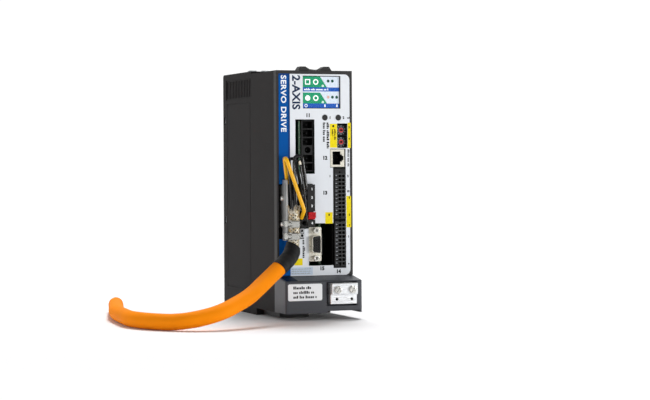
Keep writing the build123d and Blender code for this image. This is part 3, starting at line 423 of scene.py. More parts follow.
class Route:
    """Straight runs joined by arcs at the corners, in millimetres, read by distance along it."""

    def __init__(self, corners, radii):
        corners = [Vector(corner) for corner in corners]
        line = [corners[0]]
        for before, corner, after, radius in zip(corners, corners[1:], corners[2:], radii):
            into, out = (corner - before).normalized(), (after - corner).normalized()
            angle = into.angle(out)
            start = corner - into * radius * math.tan(angle / 2)
            centre = corner + (out - into).normalized() * radius / math.cos(angle / 2)
            steps = math.ceil(math.degrees(angle) / ARC_STEP) + 1
            for step in range(steps + 1):
                turn = angle * step / steps
                back = (start - centre) * math.cos(turn)
                line.append(centre + back + into * radius * math.sin(turn))
        line.append(corners[-1])
        self.line = np.array(line)
        gaps = np.linalg.norm(np.diff(self.line, axis=0), axis=1)
        self.at = np.concatenate(([0.0], np.cumsum(gaps)))
        self.length = self.at[-1]

    def frames(self, start, end, count):
        """(distance, point, side, other side) at even steps, with sides that don't twist."""
        distances = np.linspace(start, end, count)
        points = np.transpose([np.interp(distances, self.at, self.line[:, k]) for k in range(3)])
        ahead = np.gradient(points, axis=0)
        side = Vector((1, 0, 0))
        rows = []
        for distance, point, tangent in zip(distances, points, ahead):
            along = Vector(tangent).normalized()
            side = (side - along * side.dot(along)).normalized()
            rows.append((distance, Vector(point), side.copy(), along.cross(side)))
        return rows


def skin_tube(mesh, rows, radius, sides, close_ends=True):
    """Adds rings of vertices round the rows, joined by faces. radius takes (distance, angle)."""
    rings = []
    for distance, point, side, other in rows:
        ring = []
        for k in range(sides):
            angle = 2 * math.pi * k / sides
            reach = radius(distance, angle) if callable(radius) else radius
            place = point + (side * math.cos(angle) + other * math.sin(angle)) * reach
            ring.append(mesh.verts.new(place * MM))
        rings.append(ring)
    for low, high in zip(rings, rings[1:]):
        for k in range(sides):
            face = mesh.faces.new((low[k], low[(k + 1) % sides], high[(k + 1) % sides], high[k]))
            face.smooth = True
    if close_ends:
        mesh.faces.new(reversed(rings[0]))
        mesh.faces.new(rings[-1])
    return rings


def join_rings(mesh, outer, inner):
    """Adds a flat band of faces between two rings of vertices."""
    for k in range(len(outer)):
        after = (k + 1) % len(outer)
        mesh.faces.new((outer[k], outer[after], inner[after], inner[k]))


def finish_mesh(name, mesh):
    """Turns a bmesh into mesh data, with every face outwards."""
    bmesh.ops.recalc_face_normals(mesh, faces=mesh.faces)
    data = bpy.data.meshes.new(name)
    mesh.to_mesh(data)
    mesh.free()
    return data


class Print:
    """Flat printed shapes, and painted shade and highlights, in one XZ plane, gathered into one
    mesh.
    """

    disc_sides = 20
    ring_sides = 24

    def __init__(self, y):
        self.mesh = bmesh.new()
        self.y = y

    def outline(self, points):
        """One flat face through (x, z) points."""
        corners = [self.mesh.verts.new(Vector((x, self.y, z)) * MM) for x, z in points]
        self.mesh.faces.new(corners)

    def bar(self, x, z):
        self.outline(((x[0], z[0]), (x[1], z[0]), (x[1], z[1]), (x[0], z[1])))

    def disc(self, x, z, radius):
        self.outline(circle(x, z, radius, self.disc_sides))

    def ring(self, x, z, outer, inner):
        """An annulus made of quads."""
        far, near = (circle(x, z, radius, self.ring_sides) for radius in (outer, inner))
        for k in range(self.ring_sides):
            after = (k + 1) % self.ring_sides
            self.outline((far[k], far[after], near[after], near[k]))

    def frame(self, x, z, width):
        """A rectangular outline of the given line width."""
        self.bar(x, (z[0], z[0] + width))
        self.bar(x, (z[1] - width, z[1]))
        self.bar((x[0], x[0] + width), (z[0] + width, z[1] - width))
        self.bar((x[1] - width, x[1]), (z[0] + width, z[1] - width))

    def text(self, words, x, z, height, bold, length=None, turn=0.0, spacing=1.0):
        """Words centred on (x, z), turned anticlockwise by degrees, scaled to height and length.

        bold is how far the outlines grow, as a share of the font's size.
        """
        curve = bpy.data.curves.new("lettering", "FONT")
        curve.body = words
        curve.space_character = spacing
        curve.offset = bold
        curve.resolution_u = 3
        carrier = bpy.data.objects.new("lettering", curve)
        bpy.context.scene.collection.objects.link(carrier)
        bpy.context.view_layer.update()
        shape = bpy.data.meshes.new_from_object(carrier)
        bpy.data.objects.remove(carrier)
        bpy.data.curves.remove(curve)
        corners = np.array([v.co for v in shape.vertices], float)[:, :2]
        low, high = corners.min(0), corners.max(0)
        scale_up = height / (high[1] - low[1])
        scale_along = scale_up if length is None else length / (high[0] - low[0])
        corners = (corners - (low + high) / 2) * (scale_along, scale_up)
        c, s = math.cos(math.radians(turn)), math.sin(math.radians(turn))
        made = []
        for along, up in corners:
            place = Vector((x + along * c - up * s, self.y, z + along * s + up * c))
            made.append(self.mesh.verts.new(place * MM))
        for polygon in shape.polygons:
            self.mesh.faces.new([made[i] for i in polygon.vertices])
        bpy.data.meshes.remove(shape)

    def small_print(self, x, z, length, height, seed, turn=0.0, weight=1.0):
        """A line of upright strokes in word-like groups, with no letters, that starts at (x, z)."""
        dice = random.Random(seed)
        c, s = math.cos(math.radians(turn)), math.sin(math.radians(turn))
        at = 0.0
        left_in_word = dice.randint(3, 7)
        while at < length:
            width = height * dice.uniform(0.32, 0.46) * weight
            top = height * dice.choice((0.7, 0.7, 1.0))
            box = ((at, 0.0), (at + width, 0.0), (at + width, top), (at, top))
            self.outline([(x + u * c - v * s, z + u * s + v * c) for u, v in box])
            at += width + height * 0.14
            left_in_word -= 1
            if left_in_word == 0:
                at += height * 0.45
                left_in_word = dice.randint(3, 7)

    def finish(self, name, material, body="drive"):
        """Turns every face to the front and adds the print as a piece."""
        data = bpy.data.meshes.new(name)
        bmesh.ops.recalc_face_normals(self.mesh, faces=self.mesh.faces)
        for face in self.mesh.faces:
            if face.normal.y > 0:
                face.normal_flip()
        self.mesh.to_mesh(data)
        self.mesh.free()
        return make_piece(name, data, material, body)


# ---- front graphics ---------------------------------------------------------------------
# Numbers on the white overlay: digits, middle x and z, height
PORT_NUMBERS = (
    ("1", 14.6, 181.7, 2.5), ("2", 27.6, 181.7, 2.5), ("11", -6.6, 183.8, 3.5),
    ("12", 9.8, 145.2, 3.6), ("1", 14.2, 128.6, 2.1), ("2", 31.6, 128.6, 2.1),
    ("10", 32.0, 114.8, 2.1), ("13", 9.6, 113.6, 3.6), ("1", 32.0, 73.6, 2.1),
    ("9", 32.0, 48.4, 2.1), ("15", 6.4, 45.2, 3.6), ("14", 22.4, 42.2, 3.6),
)
# Small print that reads downwards: x and z of its start, length, height, seed, weight
PORT_NOTES = (
    (11.2, 177.2, 22.5, 2.4, 3, 1.3), (7.6, 177.2, 17.0, 2.4, 4, 1.3),
    (31.4, 153.0, 15.5, 1.7, 5, 1.2), (-12.6, 80.6, 26.5, 2.4, 7, 1.3),
)
# The same on the yellow field left of the rotary switches
YELLOW_NOTES = ((18.4, 171.0, 9.5, 1.8, 11, 1.0), (16.2, 171.0, 6.0, 1.5, 12, 1.0))
# Plain yellow fields: x range, z range
YELLOW_FIELDS = (
    ((14.3, 21.3), (154.4, 176.1)),     # left of the rotary switches
    ((31.6, 34.6), (154.1, 177.1)),     # right of them
    ((30.0, 34.6), (81.9, 110.5)),      # right of the signal plugs
    ((9.4, 16.6), (85.6, 95.9)),        # left of the signal plugs
    ((-20.4, -12.6), (48.4, 54.6)),     # beside the motor lead
)
# Numbers on those fields: digit, middle x and z, height
YELLOW_NUMBERS = (
    ("3", 33.0, 173.0, 2.0), ("4", 33.0, 162.5, 2.0), ("5", 33.0, 109.0, 2.0),
    ("6", 33.0, 93.5, 2.0), ("7", 33.0, 83.6, 2.0), ("8", 13.2, 93.6, 2.2),
)
PLUG_NUMBERS_X = -6.0
# Terminal numbers on the motor plug: digit, middle z
PLUG_NUMBERS = (("1", 117.2), ("2", 109.6), ("3", 102.0), ("4", 86.6))
# Framed test points on a step of the motor plug
TEST_POINT_STEP = 6.4   # from the plug's front back to the step
TEST_POINT_X = (-14.9, -11.8)
TEST_POINT_Z = (75.2, 79.6)
TEST_POINT_HALF = 1.7   # half a frame's height

DIAL_NUMBERS_R = 3.75   # circle of digits round a rotary switch
# The dark hole bottoms are painted shade in the earth terminal's holes
HOLE_GAP = 0.05         # left free round a dark hole bottom

# Signal plugs: CAD node, its body, and the distance from its top to the first row
SIGNAL_PLUGS = (("io_plug_upper", "upper_io_plug", 7.1), ("io_plug_lower", "lower_io_plug", 3.95))
PLUG_ROWS = 11
ROW_PITCH = 3.5
# Painted highlights on the signal plugs: a bright strip on the upper edge of each release tab, and
# a grey line on each rib
TAB_X = (19.5, 21.1)
TAB_Z = (0.1, 0.8)      # above the row's middle
TAB_DEPTH = 0.3         # behind the plug's front
RIB_X = (18.7, 28.5)
RIB_HALF = 0.2          # half a rib's height

ROTORS = ("rotor_s1", "rotor_s2")
DOWN = -90              # turn of lettering that reads downwards


def blue_strip_lettering():
    """White name down the blue strip, and the strip's darker border."""
    name = Print(FACE_Y - PRINT)
    name.text("SERVO DRIVE", -29.9, 194.2, 5.2, length=51.0, turn=DOWN, spacing=1.1, bold=0.03)
    name.finish("strip_lettering", WHITE_INK)
    border = Print(FACE_Y - PRINT / 2)
    border.bar((-26.0, -24.2), (122.0, 221.1))
    border.bar((-34.5, -26.0), (219.4, 221.1))
    border.finish("strip_border", BLUE_SHADE_INK)


def dark_labels():
    """Dark lettering of the white overlay: title, port numbers and small print."""
    title = Print(FACE_Y - PRINT)
    title.text("2-AXIS", -17.9, 204.4, 7.8, length=31.0, turn=DOWN, bold=0.03)
    title.finish("title_lettering", NAVY_INK)
    marks = Print(FACE_Y - 2 * PRINT)
    for digits, x, z, height in PORT_NUMBERS:
        marks.text(digits, x, z, height, bold=0.06)
    for x, z, length, height, seed, weight in PORT_NOTES:
        marks.small_print(x, z, length, height, seed, DOWN, weight)
    marks.small_print(31.2, 180.8, 2.4, 1.6, 6)
    marks.finish("port_lettering", DARK_INK_AND_SHADE)


def yellow_labels():
    """Plain yellow fields with a few small marks."""
    fields = Print(FACE_Y - PRINT)
    for x, z in YELLOW_FIELDS:
        fields.bar(x, z)
    fields.finish("yellow_fields", YELLOW_INK)
    marks = Print(FACE_Y - 2 * PRINT)
    marks.disc(17.6, 174.0, 1.0)
    for x, z, length, height, seed, weight in YELLOW_NOTES:
        marks.small_print(x, z, length, height, seed, DOWN, weight)
    for digit, x, z, height in YELLOW_NUMBERS:
        marks.text(digit, x, z, height, bold=0.05)
    marks.finish("yellow_field_marks", DARK_INK_AND_SHADE)


def note_label():
    """Pale foil note at the lower left with three lines of small print."""
    sheet = Print(FACE_Y - PRINT)
    sheet.bar((-24.0, -2.9), (39.6, 46.6))
    sheet.finish("note_sheet", NOTE_INK)
    lines = Print(FACE_Y - 2 * PRINT)
    for row, z in enumerate((44.6, 42.6, 40.6)):
        lines.small_print(-23.2, z, 18.5, 1.0, 20 + row)
    lines.finish("note_lines", GREY_INK_AND_HIGHLIGHT)


def type_label_print():
    """Three bold lines of word-like strokes on the type label."""
    lines = Print(LABEL_Y - PRINT)
    for row, (z, length) in enumerate(((28.3, 18.0), (24.2, 18.5), (20.1, 21.5))):
        lines.small_print(-29.4, z, length, 2.5, 30 + row, weight=1.25)
    lines.finish("type_label_lines", DARK_INK_AND_SHADE)


def dial_digits():
    """Ten small digits round each rotary switch."""
    digits = Print(DIAL_Y - PRINT)
    for rotor in ROTORS:
        low, high = node_box(rotor)
        x, z = (low.x + high.x) / 2, (low.z + high.z) / 2
        for number in range(10):
            angle = math.radians(90 - number * 36)
            digits.text(str(number), x + DIAL_NUMBERS_R * math.cos(angle),
                        z + DIAL_NUMBERS_R * math.sin(angle), 1.4, bold=0.04)
        digits.ring(x, z, 2.75, 2.5)
    digits.finish("dial_digits", GREY_INK_AND_HIGHLIGHT)


def plug_digits():
    """White terminal numbers and the two framed test points on the motor plug."""
    digits = Print(PLUG_Y - PRINT)
    for digit, z in PLUG_NUMBERS:
        digits.text(digit, PLUG_NUMBERS_X, z, 2.4, bold=0.05)
    digits.finish("plug_digits", WHITE_INK)
    frames = Print(node_box("motor_plug")[0].y + TEST_POINT_STEP - PRINT)
    for z in TEST_POINT_Z:
        frames.frame(TEST_POINT_X, (z - TEST_POINT_HALF, z + TEST_POINT_HALF), 0.4)
    frames.finish("test_point_frames", WHITE_INK)


def earth_holes():
    """Painted shade: dark discs at the bottoms of the two empty screw holes in the earth terminal.
    """
    holes = Print(HOLE_SHADE_Y)
    mounts = {mount["name"]: mount for mount in frame["record"]["mounts"]}
    bar = mounts["earth_bar_holes"]
    x, _, z = (value / MM for value in bar["pos_m"])
    for side in (-0.5, 0.5):
        holes.disc(x + side * bar["dims"]["spacing_x_mm"], z, bar["dims"]["hole_r_mm"] - HOLE_GAP)
    holes.finish("earth_hole_shade", DARK_INK_AND_SHADE)


def release_tabs():
    """Painted highlights: a bright strip on the upper edge of each row's release tab, and a grey
    line on the rib above each row.
    """
    for node, body, first_row in SIGNAL_PLUGS:
        low, high = node_box(node)
        tab_highlights = Print(low.y + TAB_DEPTH - PRINT)
        rib_highlights = Print(low.y - PRINT)
        for row in range(PLUG_ROWS):
            middle = high.z - first_row - row * ROW_PITCH
            tab_highlights.bar(TAB_X, (middle + TAB_Z[0], middle + TAB_Z[1]))
            rib = middle + ROW_PITCH / 2
            rib_highlights.bar(RIB_X, (rib - RIB_HALF, rib + RIB_HALF))
        tab_highlights.finish(node + "_tab_highlights", GREY_INK_AND_HIGHLIGHT, body)
        rib_highlights.finish(node + "_rib_highlights", RIB_HIGHLIGHT, body)


def rotor_marks():
    """Painted shade: a dark disc and arrow where the slot is sunk into each rotary switch."""
    for rotor in ROTORS:
        low, high = node_box(rotor)
        x, z = (low.x + high.x) / 2, (low.z + high.z) / 2
        slot_shade = Print(low.y - PRINT)
        slot_shade.disc(x, z, 0.95)
        slot_shade.outline(((x - 0.45, z + 0.6), (x + 0.45, z + 0.6), (x, z + 1.8)))
        slot_shade.finish(rotor + "_slot_shade", DARK_INK_AND_SHADE, rotor)


# ---- display ----------------------------------------------------------------------------
SCREEN_MARGIN = 0.5     # from the window's edge in to the picture
# The next four are shares of the picture's height
LOWER_ROW_TOP = 0.485
ROW_SHARE = 0.345
UPPER_BAR_SHARE = 0.13
LOWER_BAR_SHARE = 0.155
FIELD_X = 16.6          # from the left edge to the top end of a green field
FIELD_LEAN = 6.6        # how much further its foot goes
DOT_X = 24.4            # from the left edge to the first state dot
DOT_PITCH = 4.1
DOT_R = 1.35
DOT_RISE = 0.9          # above the row's middle
DARK_DOTS = ((0, 1), (1, 2))    # places of the dark state dots in the upper and lower row
WARM_DOT_DROP = 0.172   # below the lower row's top, as a share of the picture's height


def display_picture():
    """The lit screen: two axis rows with plain shapes, state dots and a blue bar under each."""
    low, high = node_box("display_lens")
    left, right = low.x + SCREEN_MARGIN, high.x - SCREEN_MARGIN
    bottom, top = low.z + SCREEN_MARGIN, high.z - SCREEN_MARGIN
    height = top - bottom
    pale = Print(PICTURE_Y)
    pale.bar((left, right), (bottom, top))
    pale.finish("screen_background", SCREEN_PALE)
    edge = Print(PICTURE_Y - PRINT)
    edge.frame((left - 0.4, right + 0.4), (bottom - 0.4, top + 0.4), 0.45)
    edge.finish("screen_edge", DARK_INK_AND_SHADE)

    green = Print(PICTURE_Y - PRINT)
    blue = Print(PICTURE_Y - 2 * PRINT)
    white = Print(PICTURE_Y - 3 * PRINT)
    dots = Print(PICTURE_Y - 2 * PRINT)
    warm = Print(PICTURE_Y - 2 * PRINT)
    rows = ((top, UPPER_BAR_SHARE), (bottom + height * LOWER_ROW_TOP, LOWER_BAR_SHARE))
    for index, (row_top, bar_share) in enumerate(rows):
        row_low = row_top - height * ROW_SHARE
        bar_low = max(row_low - height * bar_share, bottom)
        green.outline(((left, row_low), (left + FIELD_X + FIELD_LEAN, row_low),
                       (left + FIELD_X, row_top), (left, row_top)))
        blue.bar((left, right), (bar_low, row_low))
        middle = (row_top + row_low) / 2
        white.ring(left + 12.4, middle, 2.6, 1.5)
        white.ring(left + 19.2, row_low + 1.3, 1.0, 0.5)
        for place in DARK_DOTS[index]:
            dots.disc(left + DOT_X + place * DOT_PITCH, middle + DOT_RISE, DOT_R)
        bar_middle = (bar_low + row_low) / 2
        if index == 0:
            white.frame((left + 2.1, left + 7.1), (middle - 2.5, middle + 2.5), 0.9)
            white.small_print(left + 1.2, bar_middle - 0.9, 23.0, 1.8, 41)
        else:
            white.disc(left + 4.6, middle, 2.5)
            white.ring(left + 3.0, bar_middle, 1.5, 0.9)
            for x in (20.6, 32.2):
                white.bar((left + x, left + x + 1.2), (bar_middle - 1.2, bar_middle + 1.2))
            warm.disc(left + DOT_X, row_top - height * WARM_DOT_DROP + DOT_RISE, DOT_R)
    green.finish("screen_fields", SCREEN_GREEN)
    blue.finish("screen_bars", SCREEN_BLUE)
    white.finish("screen_icons", SCREEN_WHITE)
    dots.finish("screen_dots", SCREEN_DARK)
    warm.finish("screen_warm_dot", SCREEN_WARM)


# ---- motor lead ---------------------------------------------------------------------------
LEAD = Route(
    ((-24.6, -170.6, 98.5), (-24.6, -170.6, 59.5), (-86, -229, 26), (-136.5, -258, 7.2),
     (-180, -200, 7.2), (-172, -109, 7.2), (-148, -12, 7.2)),
    (20, 100, 44, 80, 230))
LEAD_SIDES = 40         # round the jacket and the sleeve

SLEEVE_START = 32.0     # distances along the lead
SLEEVE_END = 67.5
SLEEVE_R = 7.6
LOW_CUT = Vector((-1.8, -4.8, 1.0))     # slant of the sleeve's lower and upper end
HIGH_CUT = Vector((2.4, 0.0, 0.0))
LOW_CUT_REACH = 15.0    # how far from each end the slant is felt
HIGH_CUT_REACH = 12.0

JACKET_R = 7.0
JACKET_BORE = 5.5
JACKET_OVERLAP = 1.0    # how far the jacket goes on inside the sleeve
LAY = 110.0             # length of one turn of the cores under the jacket

BRAID_R = 4.95          # middle of the woven layer
WEAVE = 0.2             # how far a strand goes in and out
STRAND_R = 0.17
STRAND_SIDES = 5
CARRIERS = 8            # bundles of strands each way
STRANDS = 5             # strands in a bundle
STRAND_GAP = 0.088      # radians between the strands of a bundle
BRAID_PITCH = 26.0      # length of one turn of a strand
FRAYED_ENDS = 80


def lead_jacket():
    """Orange jacket, faintly lobed by the twisted cores inside, with a cleanly cut end."""
    def radius(distance, angle):
        lay = math.cos(4 * (angle - 2 * math.pi * distance / LAY))
        swell = math.sin(distance * 0.21) * 0.5 + math.sin(distance * 0.087 + 1.0) * 0.5
        return JACKET_R - 0.03 + 0.02 * lay + 0.02 * swell

    mesh = bmesh.new()
    rows = LEAD.frames(SLEEVE_END - JACKET_OVERLAP, LEAD.length, 300)
    outside = skin_tube(mesh, rows, radius, LEAD_SIDES, close_ends=False)
    inside = skin_tube(mesh, rows[-4:], JACKET_BORE, LEAD_SIDES, close_ends=False)
    join_rings(mesh, outside[-1], inside[-1])
    make_piece("lead_jacket", finish_mesh("lead_jacket", mesh), FINISHES["orange_jacket"],
               replaces=("cable_jacket",))


def lead_sleeve():
    """Shrink sleeve: snug on the braid, full over the jacket, with soft wrinkles and thick lips."""
    span = SLEEVE_END - SLEEVE_START

    def radius(distance, angle):
        along = (distance - SLEEVE_START) / span
        rise = min(1.0, max(0.0, along) / 0.16)
        body = SLEEVE_R - 0.75 * (1 - rise * rise * (3 - 2 * rise))
        crease = math.sin(distance * 0.9 + 2 * math.sin(angle)) * 0.06
        crease += math.sin(3 * angle + distance * 0.35) * 0.07
        return body - 0.13 + crease

    mesh = bmesh.new()
    rows = LEAD.frames(SLEEVE_START, SLEEVE_END, 80)
    skin = skin_tube(mesh, rows, radius, LEAD_SIDES, close_ends=False)
    for (distance, point, side, other), ring in zip(rows, skin):
        along = side.cross(other)
        low = max(0.0, 1 - (SLEEVE_END - distance) / LOW_CUT_REACH)
        high = max(0.0, 1 - (distance - SLEEVE_START) / HIGH_CUT_REACH)
        for vertex in ring:
            out = (vertex.co / MM - point).normalized()
            vertex.co += along * (low * LOW_CUT.dot(out) + high * HIGH_CUT.dot(out)) * MM
    for edge, inner in ((skin[0], BRAID_R + 0.25), (skin[-1], JACKET_R - 0.1)):
        middle = sum((v.co for v in edge), Vector()) / len(edge)
        lip = [mesh.verts.new(middle + (v.co - middle).normalized() * inner * MM) for v in edge]
        join_rings(mesh, edge, lip)
    make_piece("lead_sleeve", finish_mesh("lead_sleeve", mesh), FINISHES["shrink_sleeve"],
               replaces=("cable_sleeve",))


def strand(mesh, rows, turn_at, direction):
    """One braid wire wound round the rows, passing over and under the other way's bundles."""
    wound = []
    for distance, point, side, other in rows:
        angle = turn_at + direction * 2 * math.pi * distance / BRAID_PITCH
        reach = BRAID_R + WEAVE * direction * math.cos(CARRIERS * angle)
        out = side * math.cos(angle) + other * math.sin(angle)
        wound.append((distance, point + out * reach, out))
    framed = []
    for i, (distance, point, out) in enumerate(wound):
        before, after = wound[max(0, i - 1)][1], wound[min(len(wound) - 1, i + 1)][1]
        along = (after - before).normalized()
        out = (out - along * out.dot(along)).normalized()
        framed.append((distance, point, out, along.cross(out)))
    skin_tube(mesh, framed, STRAND_R, STRAND_SIDES)


def frayed_end(mesh, dice):
    """A loose wire that leaves the braid's top edge and curls outwards."""
    angle = dice.uniform(0, 2 * math.pi)
    out = Vector((math.cos(angle), math.sin(angle), 0))
    along = Vector((-out.y, out.x, 0)) * dice.uniform(-1.2, 1.2)
    root = Vector(LEAD.line[0]) + out * (BRAID_R + 0.1) + Vector((0, 0, -dice.uniform(1.0, 4.0)))
    reach, rise = dice.uniform(0.3, 1.7), dice.uniform(0.5, 4.2)
    bend = root + out * reach * 0.5 + along + Vector((0, 0, rise + 2.0))
    tip = bend + out * reach + along * 0.8 + Vector((0, 0, rise * 0.3 - 0.4))
    path = Route((root, bend, tip), (1.2,))
    skin_tube(mesh, path.frames(0, path.length, 12), STRAND_R, STRAND_SIDES)


def shield_braid():
    """The woven shield, strand by strand, with frayed ends at the top."""
    mesh = bmesh.new()
    dice = random.Random(7)
    end = SLEEVE_START + 2.0
    for direction in (-1, 1):
        for carrier in range(CARRIERS):
            for wire in range(STRANDS):
                turn_at = 2 * math.pi * carrier / CARRIERS
                turn_at += (wire - (STRANDS - 1) / 2) * STRAND_GAP
                rows = LEAD.frames(dice.uniform(0.0, 1.6), end, 56)
                strand(mesh, rows, turn_at, direction)
    for _ in range(FRAYED_ENDS):
        frayed_end(mesh, dice)
    make_piece("shield_braid", finish_mesh("shield_braid", mesh), FINISHES["braid_wire"],
               replaces=("cable_braid",))


HOLE_X = -13.2          # middle of the motor plug's wire holes
WIRE_END_Y = -160.0

# Routes of the wires, as corners and the radii at them
POWER_ROUTES = (
    (((-22.6, -171.6, 99), (-24.2, -171.9, 147), (-17.2, -173, 147), (HOLE_X, -173.4, 117.2),
      (HOLE_X, WIRE_END_Y, 117.2)), (3.2, 3.2, 3.2)),
    (((-26.6, -172.6, 99), (-28.6, -170, 144.6), (-22.4, -167.4, 144.6), (-18.4, -169.4, 126),
      (-16.8, -172.6, 109.6), (HOLE_X, -168.4, 109.6), (HOLE_X, WIRE_END_Y, 109.6)),
     (3, 3, 14, 2.6, 4)),
    (((-25.8, -168.4, 99), (-25.6, -166.6, 128), (-21.4, -166.6, 128), (-21, -171, 108),
      (-17.2, -173, 102), (HOLE_X, -168.4, 102), (HOLE_X, WIRE_END_Y, 102)), (2, 2, 6, 2.6, 3.6)),
)
EARTH_ROUTE = (((-17.8, -171.8, 91), (-17, -178, 98.2), (-33.6, -177.2, 144.8),
                (-31.4, -166, 144.8), (-27.4, -162.3, 121.9)), (6, 3.2, 3.2))
BRAKE_ROUTES = (
    (((-24.2, -174.3, 99), (-26, -174.6, 143), (-20.6, -175.9, 143), (-16.6, -176.4, 118),
      (HOLE_X, -174.8, 86.8), (HOLE_X, WIRE_END_Y, 86.8)), (2.6, 2.6, 20, 3)),
    (((-20.8, -168, 99), (-20.4, -170.6, 102.4), (HOLE_X, -171.6, 94.4),
      (HOLE_X, WIRE_END_Y, 94.4)), (1.6, 2.6)),
)
POWER_R = 1.5
EARTH_R = 1.7
BRAKE_R = 0.85
WIRE_SIDES = 16
MARKER_AT = (-20.2, -176.0, 140.0)      # near the cream sleeve on the looped brake wire
MARKER_HALF = 1.6       # half its length


def wires(name, routes, radius, slot, node):
    """Insulated wires along their routes, in place of a CAD node."""
    mesh = bmesh.new()
    for corners, radii in routes:
        route = Route(corners, radii)
        skin_tube(mesh, route.frames(0, route.length, 180), radius, WIRE_SIDES)
    make_piece(name, finish_mesh(name, mesh), FINISHES[slot], replaces=(node,))


def wire_marker():
    """Short cream sleeve pushed over the looped brake wire."""
    route = Route(*BRAKE_ROUTES[0])
    nearest = np.argmin(np.linalg.norm(route.line - np.array(MARKER_AT), axis=1))
    middle = route.at[nearest]
    mesh = bmesh.new()
    skin_tube(mesh, route.frames(middle - MARKER_HALF, middle + MARKER_HALF, 9), BRAKE_R + 0.35,
              WIRE_SIDES)
    make_piece("wire_marker", finish_mesh("wire_marker", mesh), CREAM_SLEEVE)


def motor_lead():
    lead_jacket()
    lead_sleeve()
    shield_braid()
    wires("power_cores", POWER_ROUTES, POWER_R, "black_insulation", "power_wires")
    wires("earth_core", (EARTH_ROUTE,), EARTH_R, "yellow_insulation", "ground_wire")
    wires("brake_cores", BRAKE_ROUTES, BRAKE_R, "thin_insulation", "brake_wires")
    wire_marker()


# ---- studio -------------------------------------------------------------------------------
CAMERA_AT = (-598.4, -1794.8, 140.0)
CAMERA_HEADING = 20.4       # degrees to the right of straight on
CAMERA_ROLL = -0.315        # degrees
CAMERA_LENS = 106.6
CAMERA_SHIFT = -0.056

WHITE = 1.05                # strength of the white behind the object and far off on the floor
WORLD_MATT = 0.32           # the world's strength for matt surfaces
WORLD_GLOSS = (0.25, 0.80)  # and for reflections, in front and at the back

FLOOR_HALF = 9.0            # metres, as are the next two
FLOOR_FADE = (0.35, 0.8)    # distances between which the floor fades to white
# Lights: name, place, aim, size, watts
LIGHTS = (
    ("overhead", (0.4, 0.75, 2.1), (0.0, -0.05, 0.1), 0.8, 54.0),
    ("front", (1.9, -1.9, 0.25), (0.0, -0.1, 0.12), 0.7, 43.0),
    ("left", (-2.0, -0.6, 0.5), (0.0, -0.1, 0.12), 0.9, 8.5),
)


def studio_floor():
    """Pale floor that fades into the white background away from the object."""
    nodes = Nodes("studio_floor")
    nodes.put("Base Color", nodes.mix(nodes.noise(2.0), [0.84, 0.84, 0.85, 1.0],
                                      [0.86, 0.86, 0.87, 1.0]))
    nodes.put("Roughness", nodes.clouds(9.0, 0.26, 0.34))
    nodes.put("Specular IOR Level", 0.0)
    reach = nodes.add("ShaderNodeVectorMath", operation="LENGTH")
    nodes.link(nodes.place, reach.inputs[0])
    white = nodes.add("ShaderNodeEmission")
    white.inputs["Strength"].default_value = WHITE
    blend = nodes.add("ShaderNodeMixShader")
    nodes.link(nodes.remap(reach.outputs["Value"], *FLOOR_FADE), blend.inputs[0])
    nodes.link(nodes.shader.outputs["BSDF"], blend.inputs[1])
    nodes.link(white.outputs["Emission"], blend.inputs[2])
    nodes.link(blend.outputs["Shader"], nodes.tree.nodes["Material Output"].inputs["Surface"])
    mesh = bmesh.new()
    bmesh.ops.create_grid(mesh, x_segments=8, y_segments=8, size=FLOOR_HALF)
    data = bpy.data.meshes.new("floor")
    mesh.to_mesh(data)
    mesh.free()
    floor = bpy.data.objects.new("floor", data)
    bpy.context.scene.collection.objects.link(floor)
    floor.data.materials.append(nodes.material)
    return floor


def soft_light(name, at, aim, size, power):
    """Square area light that faces a point."""
    light = bpy.data.lights.new(name, "AREA")
    light.shape = "SQUARE"
    light.size = size
    light.energy = power
    lamp = bpy.data.objects.new(name, light)
    lamp.location = Vector(at)
    lamp.rotation_euler = (Vector(aim) - Vector(at)).to_track_quat("-Z", "Y").to_euler()
    bpy.context.scene.collection.objects.link(lamp)
    return lamp


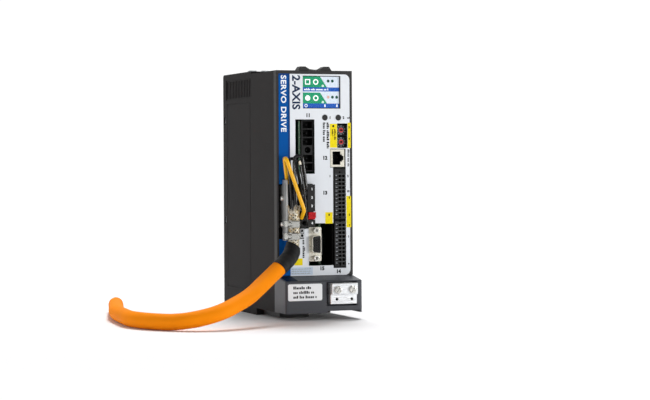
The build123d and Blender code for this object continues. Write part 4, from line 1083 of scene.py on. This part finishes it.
def white_world():
    """White to the camera and dimmer as a light; reflections see it brighter at the back."""
    world = bpy.data.worlds.new("studio")
    bpy.context.scene.world = world
    world.use_nodes = True
    tree = world.node_tree
    background = tree.nodes["Background"]
    background.inputs["Color"].default_value = (1.0, 1.0, 1.0, 1.0)
    path = tree.nodes.new("ShaderNodeLightPath")
    direction = tree.nodes.new("ShaderNodeTexCoord").outputs["Generated"]
    split = tree.nodes.new("ShaderNodeSeparateXYZ")
    behind = tree.nodes.new("ShaderNodeMapRange")
    behind.inputs["From Min"].default_value = 0.0
    behind.inputs["From Max"].default_value = 0.5
    behind.inputs["To Min"].default_value, behind.inputs["To Max"].default_value = WORLD_GLOSS
    tree.links.new(direction, split.inputs["Vector"])
    tree.links.new(split.outputs["Y"], behind.inputs["Value"])
    by_surface = tree.nodes.new("ShaderNodeMapRange")
    by_surface.inputs["To Min"].default_value = WORLD_MATT
    tree.links.new(behind.outputs["Result"], by_surface.inputs["To Max"])
    tree.links.new(path.outputs["Is Glossy Ray"], by_surface.inputs["Value"])
    strength = tree.nodes.new("ShaderNodeMix")
    tree.links.new(path.outputs["Is Camera Ray"], strength.inputs[0])
    tree.links.new(by_surface.outputs["Result"], strength.inputs[2])
    strength.inputs[3].default_value = WHITE
    tree.links.new(strength.outputs[0], background.inputs["Strength"])


def studio_camera():
    """Long lens from the front left, level with the drive."""
    camera = bpy.data.objects.new("camera", bpy.data.cameras.new("camera"))
    camera.data.lens = CAMERA_LENS
    camera.data.shift_y = CAMERA_SHIFT
    camera.data.clip_end = 30.0
    upright = Matrix.Rotation(math.pi / 2, 4, "X")
    heading = Matrix.Rotation(math.radians(-CAMERA_HEADING), 4, "Z")
    roll = Matrix.Rotation(math.radians(CAMERA_ROLL), 4, "Z")
    camera.matrix_world = (
        Matrix.Translation(Vector(CAMERA_AT) * MM) @ (heading @ upright) @ roll)
    bpy.context.scene.collection.objects.link(camera)
    bpy.context.scene.camera = camera


def studio():
    """World, lights, floor and camera round the object."""
    bpy.context.scene.view_settings.view_transform = "Standard"
    white_world()
    lights = [soft_light(*light) for light in LIGHTS]
    studio_floor()
    studio_camera()


dress_frame()
blue_strip_lettering()
dark_labels()
yellow_labels()
note_label()
type_label_print()
dial_digits()
plug_digits()
earth_holes()
release_tabs()
rotor_marks()
display_picture()
motor_lead()
studio()
